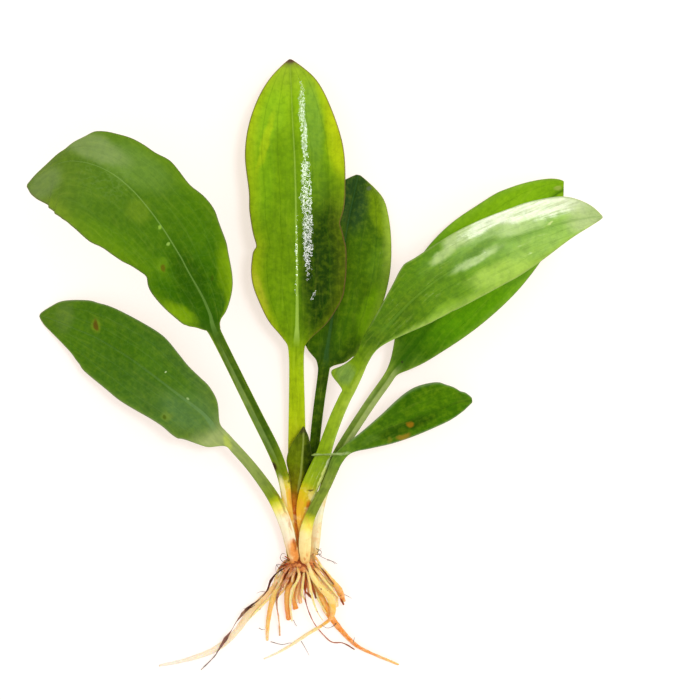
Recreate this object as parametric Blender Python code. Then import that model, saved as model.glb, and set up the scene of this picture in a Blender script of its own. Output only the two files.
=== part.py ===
"""An amazon sword plant, bare of its pot, lying on a flat surface with its leaves and roots fanned out.

Metres, +Z up, the surface at Z = 0. The leaves point along +Y and the roots along -Y. The origin is
the middle of the underside of the box around the whole plant. All sizes below are in millimetres and
are turned into metres by MM.

Every leaf grew as one piece, so its sheath, petiole and blade are one solid. The leaves and roots all
meet at the crown, a short knob of rhizome. A gap of about 0.3 mm parts each piece from its neighbours.
"""
import bmesh
import bpy
import math
from mathutils import Vector

MM = 0.001

# Where the crown lies, from the origin of the part.
CROWN_X = -3.1
CROWN_Y = -58.6

# Half sizes of the rhizome knob, the height of its centre, and how far it lies behind the sheaths.
KNOB_HALF_WIDTH = 4.3
KNOB_HALF_LENGTH = 2.2
KNOB_HALF_HEIGHT = 2.9
KNOB_CENTRE_Y = -0.7
KNOB_BUMP = 0.12

# Each side of a leaf has this many strips of faces, and this many rows lie between two stations.
STRIPS_PER_SIDE = 3
ROWS_PER_STATION = 2
# A leaf is thinner at its margins than at its midrib, and its sides curve up or down with this power.
MARGIN_THINNING = 0.45
SIDE_CURVE = 1.5
THICKEST_LEAF = 2.0

# Sides of a root's round section come from the bevel resolution, and steps lie between two points.
ROOT_BEVEL_RESOLUTION = 1
ROOT_STEPS = 2

# Leaves. A station is a place on the midrib, seen from the crown, with the leaf's size there:
# x, y, z, width to the left, width to the right, lift of the left margin, lift of the right margin,
# thickness. Left and right are as seen from above, looking from the crown to the tip.

# The tallest leaf, in the middle: a broad petiole and an oval blade with a nick in each margin.
TALL_CENTRE = [
    (0.1, 1.7, 1.9, 1.6, 1.6, 0.0, 0.0, 1.5),
    (-0.5, 8.3, 2.0, 2.1, 2.1, 0.0, 0.0, 1.6),
    (-1.1, 18.8, 2.6, 2.3, 2.3, 0.0, 0.0, 1.8),
    (-1.4, 30.8, 3.4, 2.5, 2.5, 0.0, 0.0, 1.9),
    (-1.4, 47.0, 5.5, 2.1, 2.1, 0.0, 0.0, 1.9),
    (-1.1, 63.6, 8.3, 2.1, 2.1, 0.0, 0.0, 1.6),
    (-1.1, 67.1, 8.8, 4.0, 3.7, -0.5, -0.5, 1.3),
    (-1.2, 71.8, 9.3, 8.1, 8.8, -1.0, -1.0, 1.0),
    (-1.2, 78.3, 9.8, 11.2, 12.9, -1.0, -1.0, 0.9),
    (-1.2, 87.1, 10.2, 13.2, 14.4, -0.8, -0.8, 0.8),
    (-1.3, 94.7, 10.4, 11.5, 14.1, -0.2, -0.5, 0.8),
    (-1.5, 100.9, 10.5, 12.9, 13.1, -0.5, 0.2, 0.7),
    (-1.6, 110.6, 10.5, 13.4, 14.5, -0.8, -0.8, 0.7),
    (-1.9, 120.9, 10.5, 14.4, 14.5, -0.6, -1.0, 0.6),
    (-2.4, 129.7, 10.2, 13.0, 12.7, -0.5, -1.0, 0.6),
    (-2.8, 138.4, 9.4, 9.5, 9.6, -0.3, -0.8, 0.5),
    (-3.1, 144.4, 8.5, 5.4, 6.2, 0.0, -0.3, 0.5),
    (-3.3, 149.7, 7.5, 0.35, 0.35, 0.0, 0.0, 0.45),
]

# The leaf behind it, low on the surface, with a thin dark petiole and a broad oval blade.
LOW_BEHIND = [
    (2.9, 1.3, 1.6, 0.9, 0.9, 0.0, 0.0, 1.2),
    (3.2, 8.3, 1.7, 1.0, 1.0, 0.0, 0.0, 1.4),
    (3.1, 18.8, 2.0, 1.2, 1.2, 0.0, 0.0, 1.6),
    (3.6, 32.2, 2.3, 1.2, 1.2, 0.0, 0.0, 1.6),
    (4.9, 44.2, 2.8, 1.25, 1.25, 0.0, 0.0, 1.6),
    (6.4, 56.2, 3.4, 1.35, 1.35, 0.0, 0.0, 1.5),
    (7.0, 60.6, 3.7, 2.7, 4.2, 0.0, 0.0, 1.2),
    (7.7, 65.1, 4.0, 7.0, 8.6, -0.2, -0.2, 1.0),
    (8.7, 71.0, 4.3, 10.3, 11.0, -0.6, -0.6, 0.9),
    (10.2, 80.0, 4.5, 13.1, 13.8, -1.0, -1.2, 0.8),
    (11.7, 88.9, 4.3, 14.3, 14.5, -1.0, -1.4, 0.7),
    (13.2, 97.8, 3.8, 13.7, 13.4, -0.8, -1.2, 0.7),
    (14.7, 105.9, 2.6, 10.8, 10.9, -0.5, -0.8, 0.6),
    (15.9, 111.4, 1.5, 6.3, 7.2, -0.3, -0.3, 0.5),
    (16.8, 116.0, 0.6, 0.35, 0.35, 0.0, 0.0, 0.45),
]

# The upper left leaf: it arches up off the surface, and its upper half rolls over towards the tip.
UPPER_LEFT = [
    (-3.0, 1.5, 4.5, 1.2, 1.2, 0.0, 0.0, 1.2),
    (-3.3, 7.1, 4.7, 1.4, 1.4, 0.0, 0.0, 1.2),
    (-3.7, 14.6, 5.1, 1.8, 1.8, 0.0, 0.0, 1.3),
    (-4.0, 19.1, 5.6, 1.9, 1.8, 0.0, 0.0, 1.4),
    (-5.5, 25.7, 6.6, 1.6, 1.5, 0.0, 0.0, 1.7),
    (-8.6, 33.5, 8.4, 1.5, 1.5, 0.0, 0.0, 1.9),
    (-14.3, 45.1, 11.6, 1.4, 1.4, 0.0, 0.0, 2.0),
    (-23.5, 66.2, 18.0, 1.4, 1.4, 0.0, 0.0, 1.7),
    (-24.7, 69.9, 19.2, 2.5, 1.4, 0.0, 0.0, 1.4),
    (-25.9, 74.5, 20.3, 7.9, 5.0, 0.5, 0.5, 1.1),
    (-28.4, 80.5, 21.8, 10.8, 9.9, 0.8, 0.6, 0.9),
    (-31.9, 87.9, 23.4, 12.8, 12.6, 1.0, 0.2, 0.8),
    (-37.4, 96.1, 25.4, 13.6, 15.2, 1.0, -0.8, 0.8),
    (-44.3, 103.3, 27.2, 15.7, 15.5, 0.5, -2.0, 0.7),
    (-52.1, 108.6, 28.2, 15.5, 15.6, 0.0, -3.0, 0.7),
    (-60.6, 111.7, 28.0, 13.8, 14.0, -0.8, -3.4, 0.6),
    (-68.6, 112.5, 26.4, 10.4, 7.1, -1.0, -2.6, 0.5),
    (-74.7, 111.6, 24.3, 5.6, 2.3, -0.6, -1.0, 0.5),
    (-78.4, 110.6, 22.5, 0.35, 0.35, 0.0, 0.0, 0.45),
]

# The lower left leaf: its sheath is the outermost on the left, and its tip rests on the surface.
LOWER_LEFT = [
    (-2.9, 1.2, 5.8, 0.9, 0.9, -0.4, 0.0, 0.9),
    (-3.5, 5.9, 6.7, 1.3, 1.3, -1.2, 0.0, 1.0),
    (-4.2, 9.8, 7.1, 1.7, 1.7, -1.4, 0.0, 1.2),
    (-5.1, 13.7, 7.4, 1.9, 1.9, -1.2, 0.0, 1.3),
    (-6.6, 17.5, 7.6, 1.8, 1.8, -0.6, 0.0, 1.5),
    (-9.2, 22.3, 7.9, 1.6, 1.6, 0.0, 0.0, 1.8),
    (-13.9, 29.4, 8.4, 1.4, 1.4, 0.0, 0.0, 1.8),
    (-18.6, 35.0, 9.0, 1.35, 1.35, 0.0, 0.0, 1.7),
    (-22.1, 39.2, 9.4, 4.5, 1.3, 0.0, 0.0, 1.4),
    (-24.7, 41.5, 9.7, 8.2, 2.0, 0.0, 0.0, 1.1),
    (-28.5, 44.8, 9.8, 10.0, 6.2, 0.2, 0.3, 0.9),
    (-34.7, 49.5, 9.6, 10.0, 7.9, 0.0, 0.4, 0.8),
    (-42.2, 55.1, 8.9, 11.2, 9.7, -0.5, 0.2, 0.8),
    (-51.2, 61.5, 7.4, 11.4, 11.0, -0.8, 0.0, 0.7),
    (-59.7, 66.6, 5.8, 10.1, 10.2, -0.8, 0.0, 0.6),
    (-67.4, 69.8, 4.1, 6.3, 9.2, -0.6, 0.0, 0.6),
    (-73.7, 72.3, 2.2, 3.2, 6.2, -0.3, 0.0, 0.5),
    (-78.7, 74.1, 0.6, 0.35, 0.35, 0.0, 0.0, 0.45),
]

# The big right leaf in front: the highest leaf, which rises towards the viewer. Its blade starts
# with a lobe on the left that hangs below the petiole.
RIGHT_FRONT = [
    (1.2, 1.7, 5.1, 1.0, 1.0, 0.0, 0.0, 1.1),
    (1.0, 7.2, 5.5, 1.2, 1.2, 0.0, 0.0, 1.2),
    (0.2, 13.2, 6.2, 1.7, 1.7, 0.0, 0.0, 1.3),
    (0.2, 17.7, 6.6, 2.0, 2.0, 0.0, 0.0, 1.4),
    (1.2, 22.2, 7.1, 2.3, 2.3, 0.0, 0.0, 1.4),
    (3.5, 27.0, 7.5, 2.5, 2.5, 0.0, 0.0, 1.8),
    (5.7, 31.7, 8.3, 2.2, 2.2, 0.0, 0.0, 2.0),
    (7.6, 36.8, 9.6, 1.9, 1.9, 0.0, 0.0, 2.0),
    (10.3, 43.7, 11.6, 1.6, 1.6, 0.0, 0.0, 1.9),
    (12.9, 49.6, 13.8, 1.5, 1.5, 0.0, 0.0, 1.8),
    (14.0, 51.9, 14.8, 1.6, 1.6, 0.0, 0.0, 1.7),
    (15.0, 54.0, 15.7, 6.6, 1.6, -1.6, 0.0, 1.5),
    (16.5, 57.1, 17.0, 4.7, 1.7, -1.2, 0.0, 1.4),
    (18.3, 61.0, 18.8, 2.9, 1.8, -0.4, 0.0, 1.3),
    (21.0, 65.0, 20.5, 3.0, 2.2, 0.0, 0.0, 1.1),
    (24.7, 69.9, 22.4, 5.1, 5.3, 0.6, 0.6, 1.0),
    (30.4, 76.1, 24.8, 8.0, 8.4, 1.5, 0.8, 0.9),
    (38.2, 82.9, 28.0, 8.5, 10.1, 2.5, 0.5, 0.8),
    (47.6, 88.9, 31.2, 8.3, 11.1, 2.5, 0.0, 0.8),
    (57.2, 93.5, 33.6, 7.8, 10.8, 2.0, -0.6, 0.7),
    (66.8, 97.1, 35.2, 7.6, 8.8, 1.2, -1.0, 0.6),
    (75.1, 99.3, 35.8, 6.6, 4.8, 0.4, -0.8, 0.5),
    (80.7, 100.4, 35.5, 4.1, 2.4, 0.0, -0.3, 0.5),
    (85.0, 100.7, 35.0, 0.35, 0.35, 0.0, 0.0, 0.45),
]

# The right leaf at the back: low, with a torn, blunt tip that rests on the surface.
RIGHT_BACK = [
    (4.0, 1.3, 3.7, 1.0, 1.0, 0.0, 0.0, 1.2),
    (4.1, 7.0, 3.9, 1.1, 1.1, 0.0, 0.0, 1.3),
    (4.6, 13.0, 4.1, 1.2, 1.2, 0.0, 0.0, 1.4),
    (5.8, 19.0, 4.3, 1.2, 1.2, 0.0, 0.0, 1.5),
    (7.9, 25.6, 4.6, 1.2, 1.2, 0.0, 0.0, 1.6),
    (11.4, 33.3, 5.1, 1.2, 1.2, 0.0, 0.0, 1.6),
    (20.3, 46.1, 6.0, 1.2, 1.2, 0.0, 0.0, 1.5),
    (25.7, 53.5, 6.5, 1.3, 1.3, 0.0, 0.0, 1.4),
    (27.7, 56.8, 6.7, 1.5, 1.4, 0.0, 0.0, 1.2),
    (29.8, 60.0, 6.9, 3.2, 4.1, 0.0, 0.0, 1.0),
    (33.3, 64.8, 7.1, 6.6, 7.2, 0.2, -0.3, 0.9),
    (39.2, 72.2, 7.2, 11.7, 10.1, 0.2, -0.8, 0.8),
    (46.9, 80.8, 6.9, 15.0, 12.0, 0.0, -1.2, 0.8),
    (55.3, 89.7, 6.2, 15.7, 12.4, -0.3, -1.2, 0.7),
    (63.4, 98.3, 5.0, 13.1, 11.0, -0.5, -1.0, 0.7),
    (71.0, 105.9, 3.4, 8.9, 7.2, -0.4, -0.6, 0.6),
    (75.9, 110.2, 1.7, 4.9, 3.1, 0.0, -0.2, 0.5),
    (78.5, 111.7, 0.9, 2.4, 2.4, 0.0, 0.0, 0.5),
]

# The small spoon-shaped leaf on the right: a strap-like petiole that bends sharply into the blade.
SMALL_RIGHT = [
    (0.8, 0.9, 7.4, 1.3, 1.3, -0.5, -0.5, 1.0),
    (0.7, 5.2, 8.2, 1.9, 1.9, -1.1, -0.9, 1.2),
    (1.3, 9.9, 8.5, 2.0, 2.0, -1.0, -0.8, 1.2),
    (2.3, 14.4, 8.8, 1.8, 1.8, -0.3, -0.3, 1.4),
    (4.1, 19.1, 9.2, 1.5, 1.5, 0.0, 0.0, 1.6),
    (6.5, 24.2, 9.7, 1.5, 1.5, 0.0, 0.0, 1.6),
    (8.8, 28.3, 10.4, 1.6, 1.6, 0.0, 0.0, 1.5),
    (10.9, 31.3, 11.0, 1.9, 1.9, 0.0, 0.0, 1.3),
    (14.4, 34.1, 11.5, 1.8, 1.2, 0.0, 0.0, 1.0),
    (19.1, 36.9, 11.8, 2.8, 2.5, 0.3, 0.0, 0.9),
    (24.6, 39.6, 12.0, 4.4, 3.8, 0.6, 0.0, 0.8),
    (30.5, 41.9, 11.7, 6.7, 4.0, 0.6, 0.0, 0.7),
    (36.4, 44.4, 11.0, 8.3, 3.9, 0.5, 0.0, 0.7),
    (41.7, 46.5, 9.9, 7.7, 3.8, 0.3, 0.0, 0.6),
    (46.2, 48.0, 8.7, 4.4, 2.8, 0.0, 0.0, 0.5),
    (50.3, 48.8, 7.5, 0.5, 0.5, 0.0, 0.0, 0.45),
]

# The youngest leaf, still folded, which comes up between the sheaths of its neighbours.
YOUNG_FOLDED = [
    (-0.8, 2.1, 4.3, 0.7, 0.7, 0.0, 0.0, 1.0),
    (-0.8, 8.6, 4.5, 0.8, 0.7, 0.0, 0.0, 1.1),
    (-0.9, 16.1, 4.6, 0.8, 0.9, 0.0, 0.0, 0.9),
    (-0.9, 20.3, 4.9, 0.9, 1.2, 0.0, 0.0, 0.8),
    (-0.8, 23.6, 5.4, 1.7, 2.0, -0.2, -0.3, 0.7),
    (-0.4, 26.9, 5.9, 3.3, 2.2, -0.5, -1.2, 0.7),
    (0.2, 30.4, 6.5, 4.4, 2.7, -0.6, -1.4, 0.7),
    (0.5, 34.0, 6.9, 3.8, 2.1, -0.5, -1.2, 0.6),
    (0.7, 37.0, 7.2, 2.5, 1.4, -0.4, -0.9, 0.6),
    (0.7, 39.4, 7.5, 1.0, 0.6, -0.2, -0.4, 0.5),
    (0.7, 41.0, 7.8, 0.3, 0.3, 0.0, 0.0, 0.45),
]

# Roots: x, y, z of the middle of the root, seen from the crown, and its radius there. Each starts
# beside the knob and ends on the surface, or where it was cut.

# Fresh, pale roots.
PALE_ROOTS = {
    "root_long_left": [
        (-3.4, -2.8, 1.3, 0.6), (-6.6, -5.7, 1.3, 0.7), (-10.7, -9.7, 1.3, 0.8),
        (-15.5, -14.8, 1.2, 1.0), (-20.0, -21.1, 1.1, 1.05), (-26.3, -26.2, 0.9, 0.85),
        (-35.0, -29.3, 0.7, 0.6), (-42.8, -31.0, 0.4, 0.35),
    ],
    "root_stub_left": [
        (-4.4, -1.9, 3.1, 0.55), (-6.2, -3.8, 3.1, 0.65), (-8.6, -6.6, 3.1, 0.55),
    ],
    "root_yellow_left": [
        (-2.8, -3.1, 3.0, 0.5), (-5.3, -6.1, 3.3, 0.65), (-8.0, -8.9, 3.2, 0.8),
        (-9.5, -14.4, 2.2, 0.9), (-10.3, -19.6, 1.2, 0.7), (-10.3, -23.3, 0.75, 0.6),
    ],
    "root_pale_thin": [
        (-0.9, -3.2, 5.0, 0.4), (-1.6, -5.6, 5.1, 0.45), (-2.8, -8.0, 4.8, 0.45),
        (-3.2, -12.3, 3.8, 0.35), (-2.9, -17.3, 2.4, 0.3),
    ],
    "root_pale_middle": [
        (0.1, -3.4, 3.4, 0.45), (0.2, -7.2, 3.6, 0.5), (-0.4, -11.2, 3.0, 0.4),
    ],
    "root_thin_right": [
        (2.1, -2.7, 5.2, 0.4), (2.6, -5.8, 5.6, 0.45), (3.4, -10.1, 4.9, 0.4),
        (4.3, -13.5, 4.0, 0.2), (6.0, -16.2, 3.4, 0.15),
    ],
    "root_bent_pale": [
        (3.4, -1.9, 5.0, 0.6), (4.8, -4.6, 5.0, 0.8), (7.0, -7.6, 4.7, 0.9),
        (9.6, -11.0, 4.2, 0.8), (10.4, -14.2, 3.9, 0.6), (8.8, -16.6, 3.7, 0.5),
        (6.0, -18.4, 3.2, 0.5), (2.2, -20.9, 2.4, 0.6), (-1.8, -23.7, 1.5, 0.6),
        (-6.0, -26.4, 0.9, 0.5), (-11.4, -29.0, 0.5, 0.35),
    ],
    "root_right_inner": [
        (3.3, -2.8, 2.9, 0.55), (5.9, -5.3, 2.7, 0.7), (8.8, -8.6, 2.0, 0.8),
        (10.2, -12.1, 1.1, 0.7),
    ],
}

# Older, orange roots, most of them cut short.
ORANGE_ROOTS = {
    "root_orange_left": [
        (-1.5, -3.4, 3.2, 0.5), (-3.6, -7.1, 3.2, 0.75), (-4.4, -11.6, 2.4, 0.75),
        (-3.9, -17.2, 1.3, 0.65),
    ],
    "root_club": [
        (-1.2, -3.2, 1.4, 0.5), (-1.9, -8.4, 1.5, 0.6), (-2.2, -11.7, 1.4, 0.7),
        (-1.8, -13.9, 1.2, 0.8),
    ],
    "root_pink_middle": [
        (0.4, -3.3, 1.5, 0.5), (0.7, -8.5, 1.6, 0.55), (0.5, -12.3, 1.2, 0.45),
    ],
    "root_long_right": [
        (2.1, -3.3, 1.3, 0.6), (4.4, -8.0, 1.4, 0.8), (7.2, -13.3, 1.3, 0.95),
        (9.6, -17.5, 1.2, 1.05), (13.5, -22.0, 1.1, 0.9), (16.5, -25.0, 0.9, 0.7),
        (21.0, -27.3, 0.7, 0.5), (29.1, -30.7, 0.45, 0.4),
    ],
    "root_right_bunch": [
        (5.1, -1.3, 3.1, 0.6), (6.7, -2.4, 3.5, 0.75), (9.8, -4.9, 3.2, 0.8),
        (12.2, -8.0, 2.4, 0.9), (12.7, -11.8, 1.4, 0.9),
    ],
}

# Dead or dirty roots.
DARK_ROOTS = {
    "root_dark_left": [
        (-4.0, -1.2, 5.0, 0.55), (-6.7, -2.1, 4.9, 0.6), (-9.4, -5.1, 4.6, 0.6),
        (-11.8, -9.0, 4.2, 0.65), (-15.4, -13.5, 3.8, 0.6), (-19.0, -17.5, 3.5, 0.5),
        (-22.6, -23.0, 3.0, 0.5), (-24.6, -25.8, 2.6, 0.45), (-26.4, -28.4, 1.1, 0.35),
        (-30.3, -32.3, 0.35, 0.2),
    ],
    "root_thin_brown": [
        (-2.7, -2.3, 5.3, 0.4), (-5.2, -5.6, 5.3, 0.45), (-7.0, -9.8, 4.6, 0.45),
        (-6.8, -15.5, 2.8, 0.4), (-6.6, -22.0, 0.9, 0.35),
    ],
    "root_dark_middle": [
        (0.7, -3.2, 5.1, 0.5), (0.9, -6.5, 5.2, 0.55), (0.8, -10.1, 4.6, 0.35),
        (1.7, -14.1, 3.6, 0.25), (3.4, -17.5, 2.2, 0.25), (5.7, -20.4, 1.3, 0.25),
        (8.7, -23.9, 0.6, 0.22), (12.3, -24.4, 0.4, 0.22), (15.8, -26.4, 0.3, 0.2),
    ],
    "root_dark_stub": [
        (1.6, -3.6, 2.9, 0.5), (2.8, -7.0, 2.9, 0.6), (4.0, -10.6, 2.4, 0.5),
    ],
}

# Colours, as linear red, green and blue, and roughness.
BRIGHT_LEAF = (0.16, 0.32, 0.01)
GREEN_LEAF = (0.11, 0.26, 0.01)
DARK_LEAF = (0.05, 0.15, 0.01)
CROWN_COLOR = (0.70, 0.25, 0.05)
PALE_ROOT = (0.85, 0.50, 0.20)
ORANGE_ROOT = (0.80, 0.30, 0.05)
DARK_ROOT = (0.10, 0.04, 0.02)
LEAF_ROUGHNESS = 0.25
ROOT_ROUGHNESS = 0.6


def new_material(name, color, roughness):
    material = bpy.data.materials.new(name)
    material.use_nodes = True
    surface = material.node_tree.nodes["Principled BSDF"]
    surface.inputs["Base Color"].default_value = (*color, 1.0)
    surface.inputs["Roughness"].default_value = roughness
    surface.inputs["Metallic"].default_value = 0.0
    material.diffuse_color = (*color, 1.0)
    return material


def add_object(name, data, color, roughness, plant):
    item = bpy.data.objects.new(name, data)
    item.data.materials.append(new_material(name, color, roughness))
    item.parent = plant
    bpy.context.scene.collection.objects.link(item)
    return item


def smooth_between(before, start, end, after, t):
    """One step of a smooth curve through the stations, for every value of a station at once."""
    return [
        0.5 * (2 * b + (c - a) * t + (2 * a - 5 * b + 4 * c - d) * t**2 + (3 * b - a - 3 * c + d) * t**3)
        for a, b, c, d in zip(before, start, end, after)
    ]


def rows_along(stations):
    """The stations of a leaf with further rows between them."""
    rows = []
    last = len(stations) - 1
    for i in range(last):
        before = stations[max(i - 1, 0)]
        after = stations[min(i + 2, last)]
        for step in range(ROWS_PER_STATION):
            t = step / ROWS_PER_STATION
            rows.append(smooth_between(before, stations[i], stations[i + 1], after, t))
    rows.append(list(stations[last]))
    return rows


def add_leaf(name, color, plant, stations):
    """A leaf as a sheet along its midrib, thickened downwards: thick in the petiole, thin in the blade."""
    rows = rows_along(stations)
    places = [Vector(row[0:3]) for row in rows]
    columns = range(-STRIPS_PER_SIDE, STRIPS_PER_SIDE + 1)
    sheet = bmesh.new()
    weights = []
    grid = []
    for i, row in enumerate(rows):
        left, right, lift_left, lift_right, thickness = row[3:8]
        ahead = places[min(i + 1, len(rows) - 1)] - places[max(i - 1, 0)]
        to_left = Vector((-ahead.y, ahead.x, 0.0)).normalized()
        line = []
        for column in columns:
            across = abs(column) / STRIPS_PER_SIDE
            width, lift = (left, lift_left) if column < 0 else (-right, lift_right)
            place = places[i] + to_left * width * across
            place.z += lift * across**SIDE_CURVE
            line.append(sheet.verts.new(place * MM))
            weights.append(thickness / THICKEST_LEAF * (1.0 - MARGIN_THINNING * across**2))
        grid.append(line)
    for near, far in zip(grid, grid[1:]):
        for k in range(len(near) - 1):
            sheet.faces.new((near[k], near[k + 1], far[k + 1], far[k]))
    mesh = bpy.data.meshes.new(name)
    sheet.to_mesh(mesh)
    sheet.free()
    mesh.shade_smooth()

    leaf = add_object(name, mesh, color, LEAF_ROUGHNESS, plant)
    group = leaf.vertex_groups.new(name="thickness")
    for index, weight in enumerate(weights):
        group.add([index], weight, "REPLACE")
    solidify = leaf.modifiers.new("Thickness", "SOLIDIFY")
    solidify.thickness = THICKEST_LEAF * MM
    solidify.offset = -1.0
    solidify.vertex_group = group.name
    return leaf


def add_root(name, color, plant, points):
    """A root as a round, tapering curve with closed ends."""
    curve = bpy.data.curves.new(name, "CURVE")
    curve.dimensions = "3D"
    curve.bevel_depth = MM
    curve.bevel_resolution = ROOT_BEVEL_RESOLUTION
    curve.resolution_u = ROOT_STEPS
    curve.render_resolution_u = 0
    curve.use_fill_caps = True
    spline = curve.splines.new("BEZIER")
    spline.bezier_points.add(len(points) - 1)
    for point, (x, y, z, radius) in zip(spline.bezier_points, points):
        point.co = Vector((x, y, z)) * MM
        point.radius = radius
        point.handle_left_type = "AUTO"
        point.handle_right_type = "AUTO"
    return add_object(name, curve, color, ROOT_ROUGHNESS, plant)


def add_crown(plant):
    """The short knob of rhizome, a little lumpy, that the leaves and roots grow from."""
    knob = bmesh.new()
    bmesh.ops.create_icosphere(knob, subdivisions=3, radius=1.0)
    for vert in knob.verts:
        bump = math.sin(5.0 * vert.co.x + 1.0) * math.sin(4.0 * vert.co.y) * math.cos(5.0 * vert.co.z)
        swell = 1.0 + KNOB_BUMP * bump
        vert.co.x *= KNOB_HALF_WIDTH * swell * MM
        vert.co.y *= KNOB_HALF_LENGTH * swell * MM
        vert.co.z *= KNOB_HALF_HEIGHT * swell * MM
    bottom = min(vert.co.z for vert in knob.verts)
    bmesh.ops.translate(knob, verts=knob.verts, vec=(0.0, KNOB_CENTRE_Y * MM, -bottom))
    mesh = bpy.data.meshes.new("crown")
    knob.to_mesh(mesh)
    knob.free()
    mesh.shade_smooth()
    return add_object("crown", mesh, CROWN_COLOR, ROOT_ROUGHNESS, plant)


def main():
    for item in list(bpy.data.objects):
        bpy.data.objects.remove(item, do_unlink=True)

    plant = bpy.data.objects.new("plant", None)
    plant.location = (CROWN_X * MM, CROWN_Y * MM, 0.0)
    bpy.context.scene.collection.objects.link(plant)

    add_leaf("leaf_tall_centre", BRIGHT_LEAF, plant, TALL_CENTRE)
    add_leaf("leaf_low_behind", DARK_LEAF, plant, LOW_BEHIND)
    add_leaf("leaf_upper_left", GREEN_LEAF, plant, UPPER_LEFT)
    add_leaf("leaf_lower_left", GREEN_LEAF, plant, LOWER_LEFT)
    add_leaf("leaf_right_front", BRIGHT_LEAF, plant, RIGHT_FRONT)
    add_leaf("leaf_right_back", GREEN_LEAF, plant, RIGHT_BACK)
    add_leaf("leaf_small_right", GREEN_LEAF, plant, SMALL_RIGHT)
    add_leaf("leaf_young_folded", DARK_LEAF, plant, YOUNG_FOLDED)
    add_crown(plant)
    for name, points in PALE_ROOTS.items():
        add_root(name, PALE_ROOT, plant, points)
    for name, points in ORANGE_ROOTS.items():
        add_root(name, ORANGE_ROOT, plant, points)
    for name, points in DARK_ROOTS.items():
        add_root(name, DARK_ROOT, plant, points)


main()
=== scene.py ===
"""The looks of a bare-root amazon sword plant lying on a white surface, seen from straight above.

Metres, in the part's own frame: +Y from the roots to the leaf tips, +Z up, the surface at Z = 0. Sizes
are written in millimetres and turned into metres by MM. Leaves and roots are measured from the crown,
where they meet, as in the part's source.
"""

import math
import random

import bmesh
import bpy
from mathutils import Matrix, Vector


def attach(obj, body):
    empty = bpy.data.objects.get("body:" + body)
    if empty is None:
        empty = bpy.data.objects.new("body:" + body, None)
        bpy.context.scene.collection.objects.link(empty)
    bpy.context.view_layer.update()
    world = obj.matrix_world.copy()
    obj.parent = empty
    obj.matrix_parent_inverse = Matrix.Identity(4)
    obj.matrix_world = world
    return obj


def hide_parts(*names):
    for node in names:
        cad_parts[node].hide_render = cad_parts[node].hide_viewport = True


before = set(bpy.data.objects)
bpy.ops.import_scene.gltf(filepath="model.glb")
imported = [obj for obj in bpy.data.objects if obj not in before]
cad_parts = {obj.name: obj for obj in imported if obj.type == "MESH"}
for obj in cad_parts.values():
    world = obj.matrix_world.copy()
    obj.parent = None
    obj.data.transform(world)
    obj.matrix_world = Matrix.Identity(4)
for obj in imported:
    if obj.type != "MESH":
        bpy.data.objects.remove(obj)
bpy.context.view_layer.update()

MM = 0.001

# The camera, half a metre above the surface and looking straight down on it. It stands a little to
# the right of the crown, half way up the leaves, and takes in 210 mm of the surface.
CAMERA_X = 11.3
CAMERA_Y = 5.0
CAMERA_HEIGHT = 500.0
SEEN_WIDTH = 210.0
SENSOR_WIDTH = 36.0

bpy.ops.object.camera_add(location=(CAMERA_X * MM, CAMERA_Y * MM, CAMERA_HEIGHT * MM))
camera = bpy.context.object
camera.rotation_euler = (0.0, 0.0, 0.0)
camera.data.sensor_width = SENSOR_WIDTH
camera.data.lens = SENSOR_WIDTH * CAMERA_HEIGHT / SEEN_WIDTH
camera.data.clip_start = 0.01
bpy.context.scene.camera = camera

# The table and the room. The surface is plain white and lit from below as well, as on a light table,
# so that only a faint, warm shadow is left of the raised leaves. The room lights it evenly from all
# round, with one soft lamp to the upper right, and four dim panels that only show as sheen.
FLOOR_SIZE = 6.0
FLOOR_DROP = 0.1
FLOOR_WHITE = (0.42, 0.42, 0.42)
FLOOR_GLOW = (0.68, 0.575, 0.515)
ROOM_WHITE = (1.0, 0.995, 0.985, 1.0)
ROOM_LIGHT = 0.92
LAMP_PLACE = (0.42, 0.20, 1.15)
LAMP_SIZE = 0.30
LAMP_WATTS = 6.5
PANEL_AWAY = 1.6
PANEL_UP = 0.7
PANEL_SIZE = (2.0, 0.9)
PANEL_WATTS = 4.5


def add_lamp(name, place, target, size, watts):
    """A soft flat lamp, size (width, length) in metres, that faces its target."""
    bpy.ops.object.light_add(type="AREA", location=place)
    lamp = bpy.context.object
    lamp.name = name
    lamp.data.shape = "RECTANGLE"
    lamp.data.size = size[0]
    lamp.data.size_y = size[1]
    lamp.data.energy = watts
    facing = Vector(target) - Vector(place)
    lamp.rotation_euler = facing.to_track_quat("-Z", "Y").to_euler()
    return lamp


bpy.ops.mesh.primitive_plane_add(size=FLOOR_SIZE)
table_top = bpy.context.object
table_top.name = "table_top"
bpy.ops.object.mode_set(mode="EDIT")
bpy.ops.mesh.select_all(action="SELECT")
bpy.ops.transform.translate(value=(0.0, 0.0, -FLOOR_DROP * MM))
bpy.ops.object.mode_set(mode="OBJECT")
table_white = bpy.data.materials.new("table_white")
table_white.use_nodes = True
white_shader = table_white.node_tree.nodes["Principled BSDF"]
white_shader.inputs["Base Color"].default_value = (*FLOOR_WHITE, 1.0)
white_shader.inputs["Roughness"].default_value = 0.9
white_shader.inputs["Specular IOR Level"].default_value = 0.0
white_shader.inputs["Emission Color"].default_value = (*FLOOR_GLOW, 1.0)
white_shader.inputs["Emission Strength"].default_value = 1.0
table_top.data.materials.append(table_white)

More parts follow.
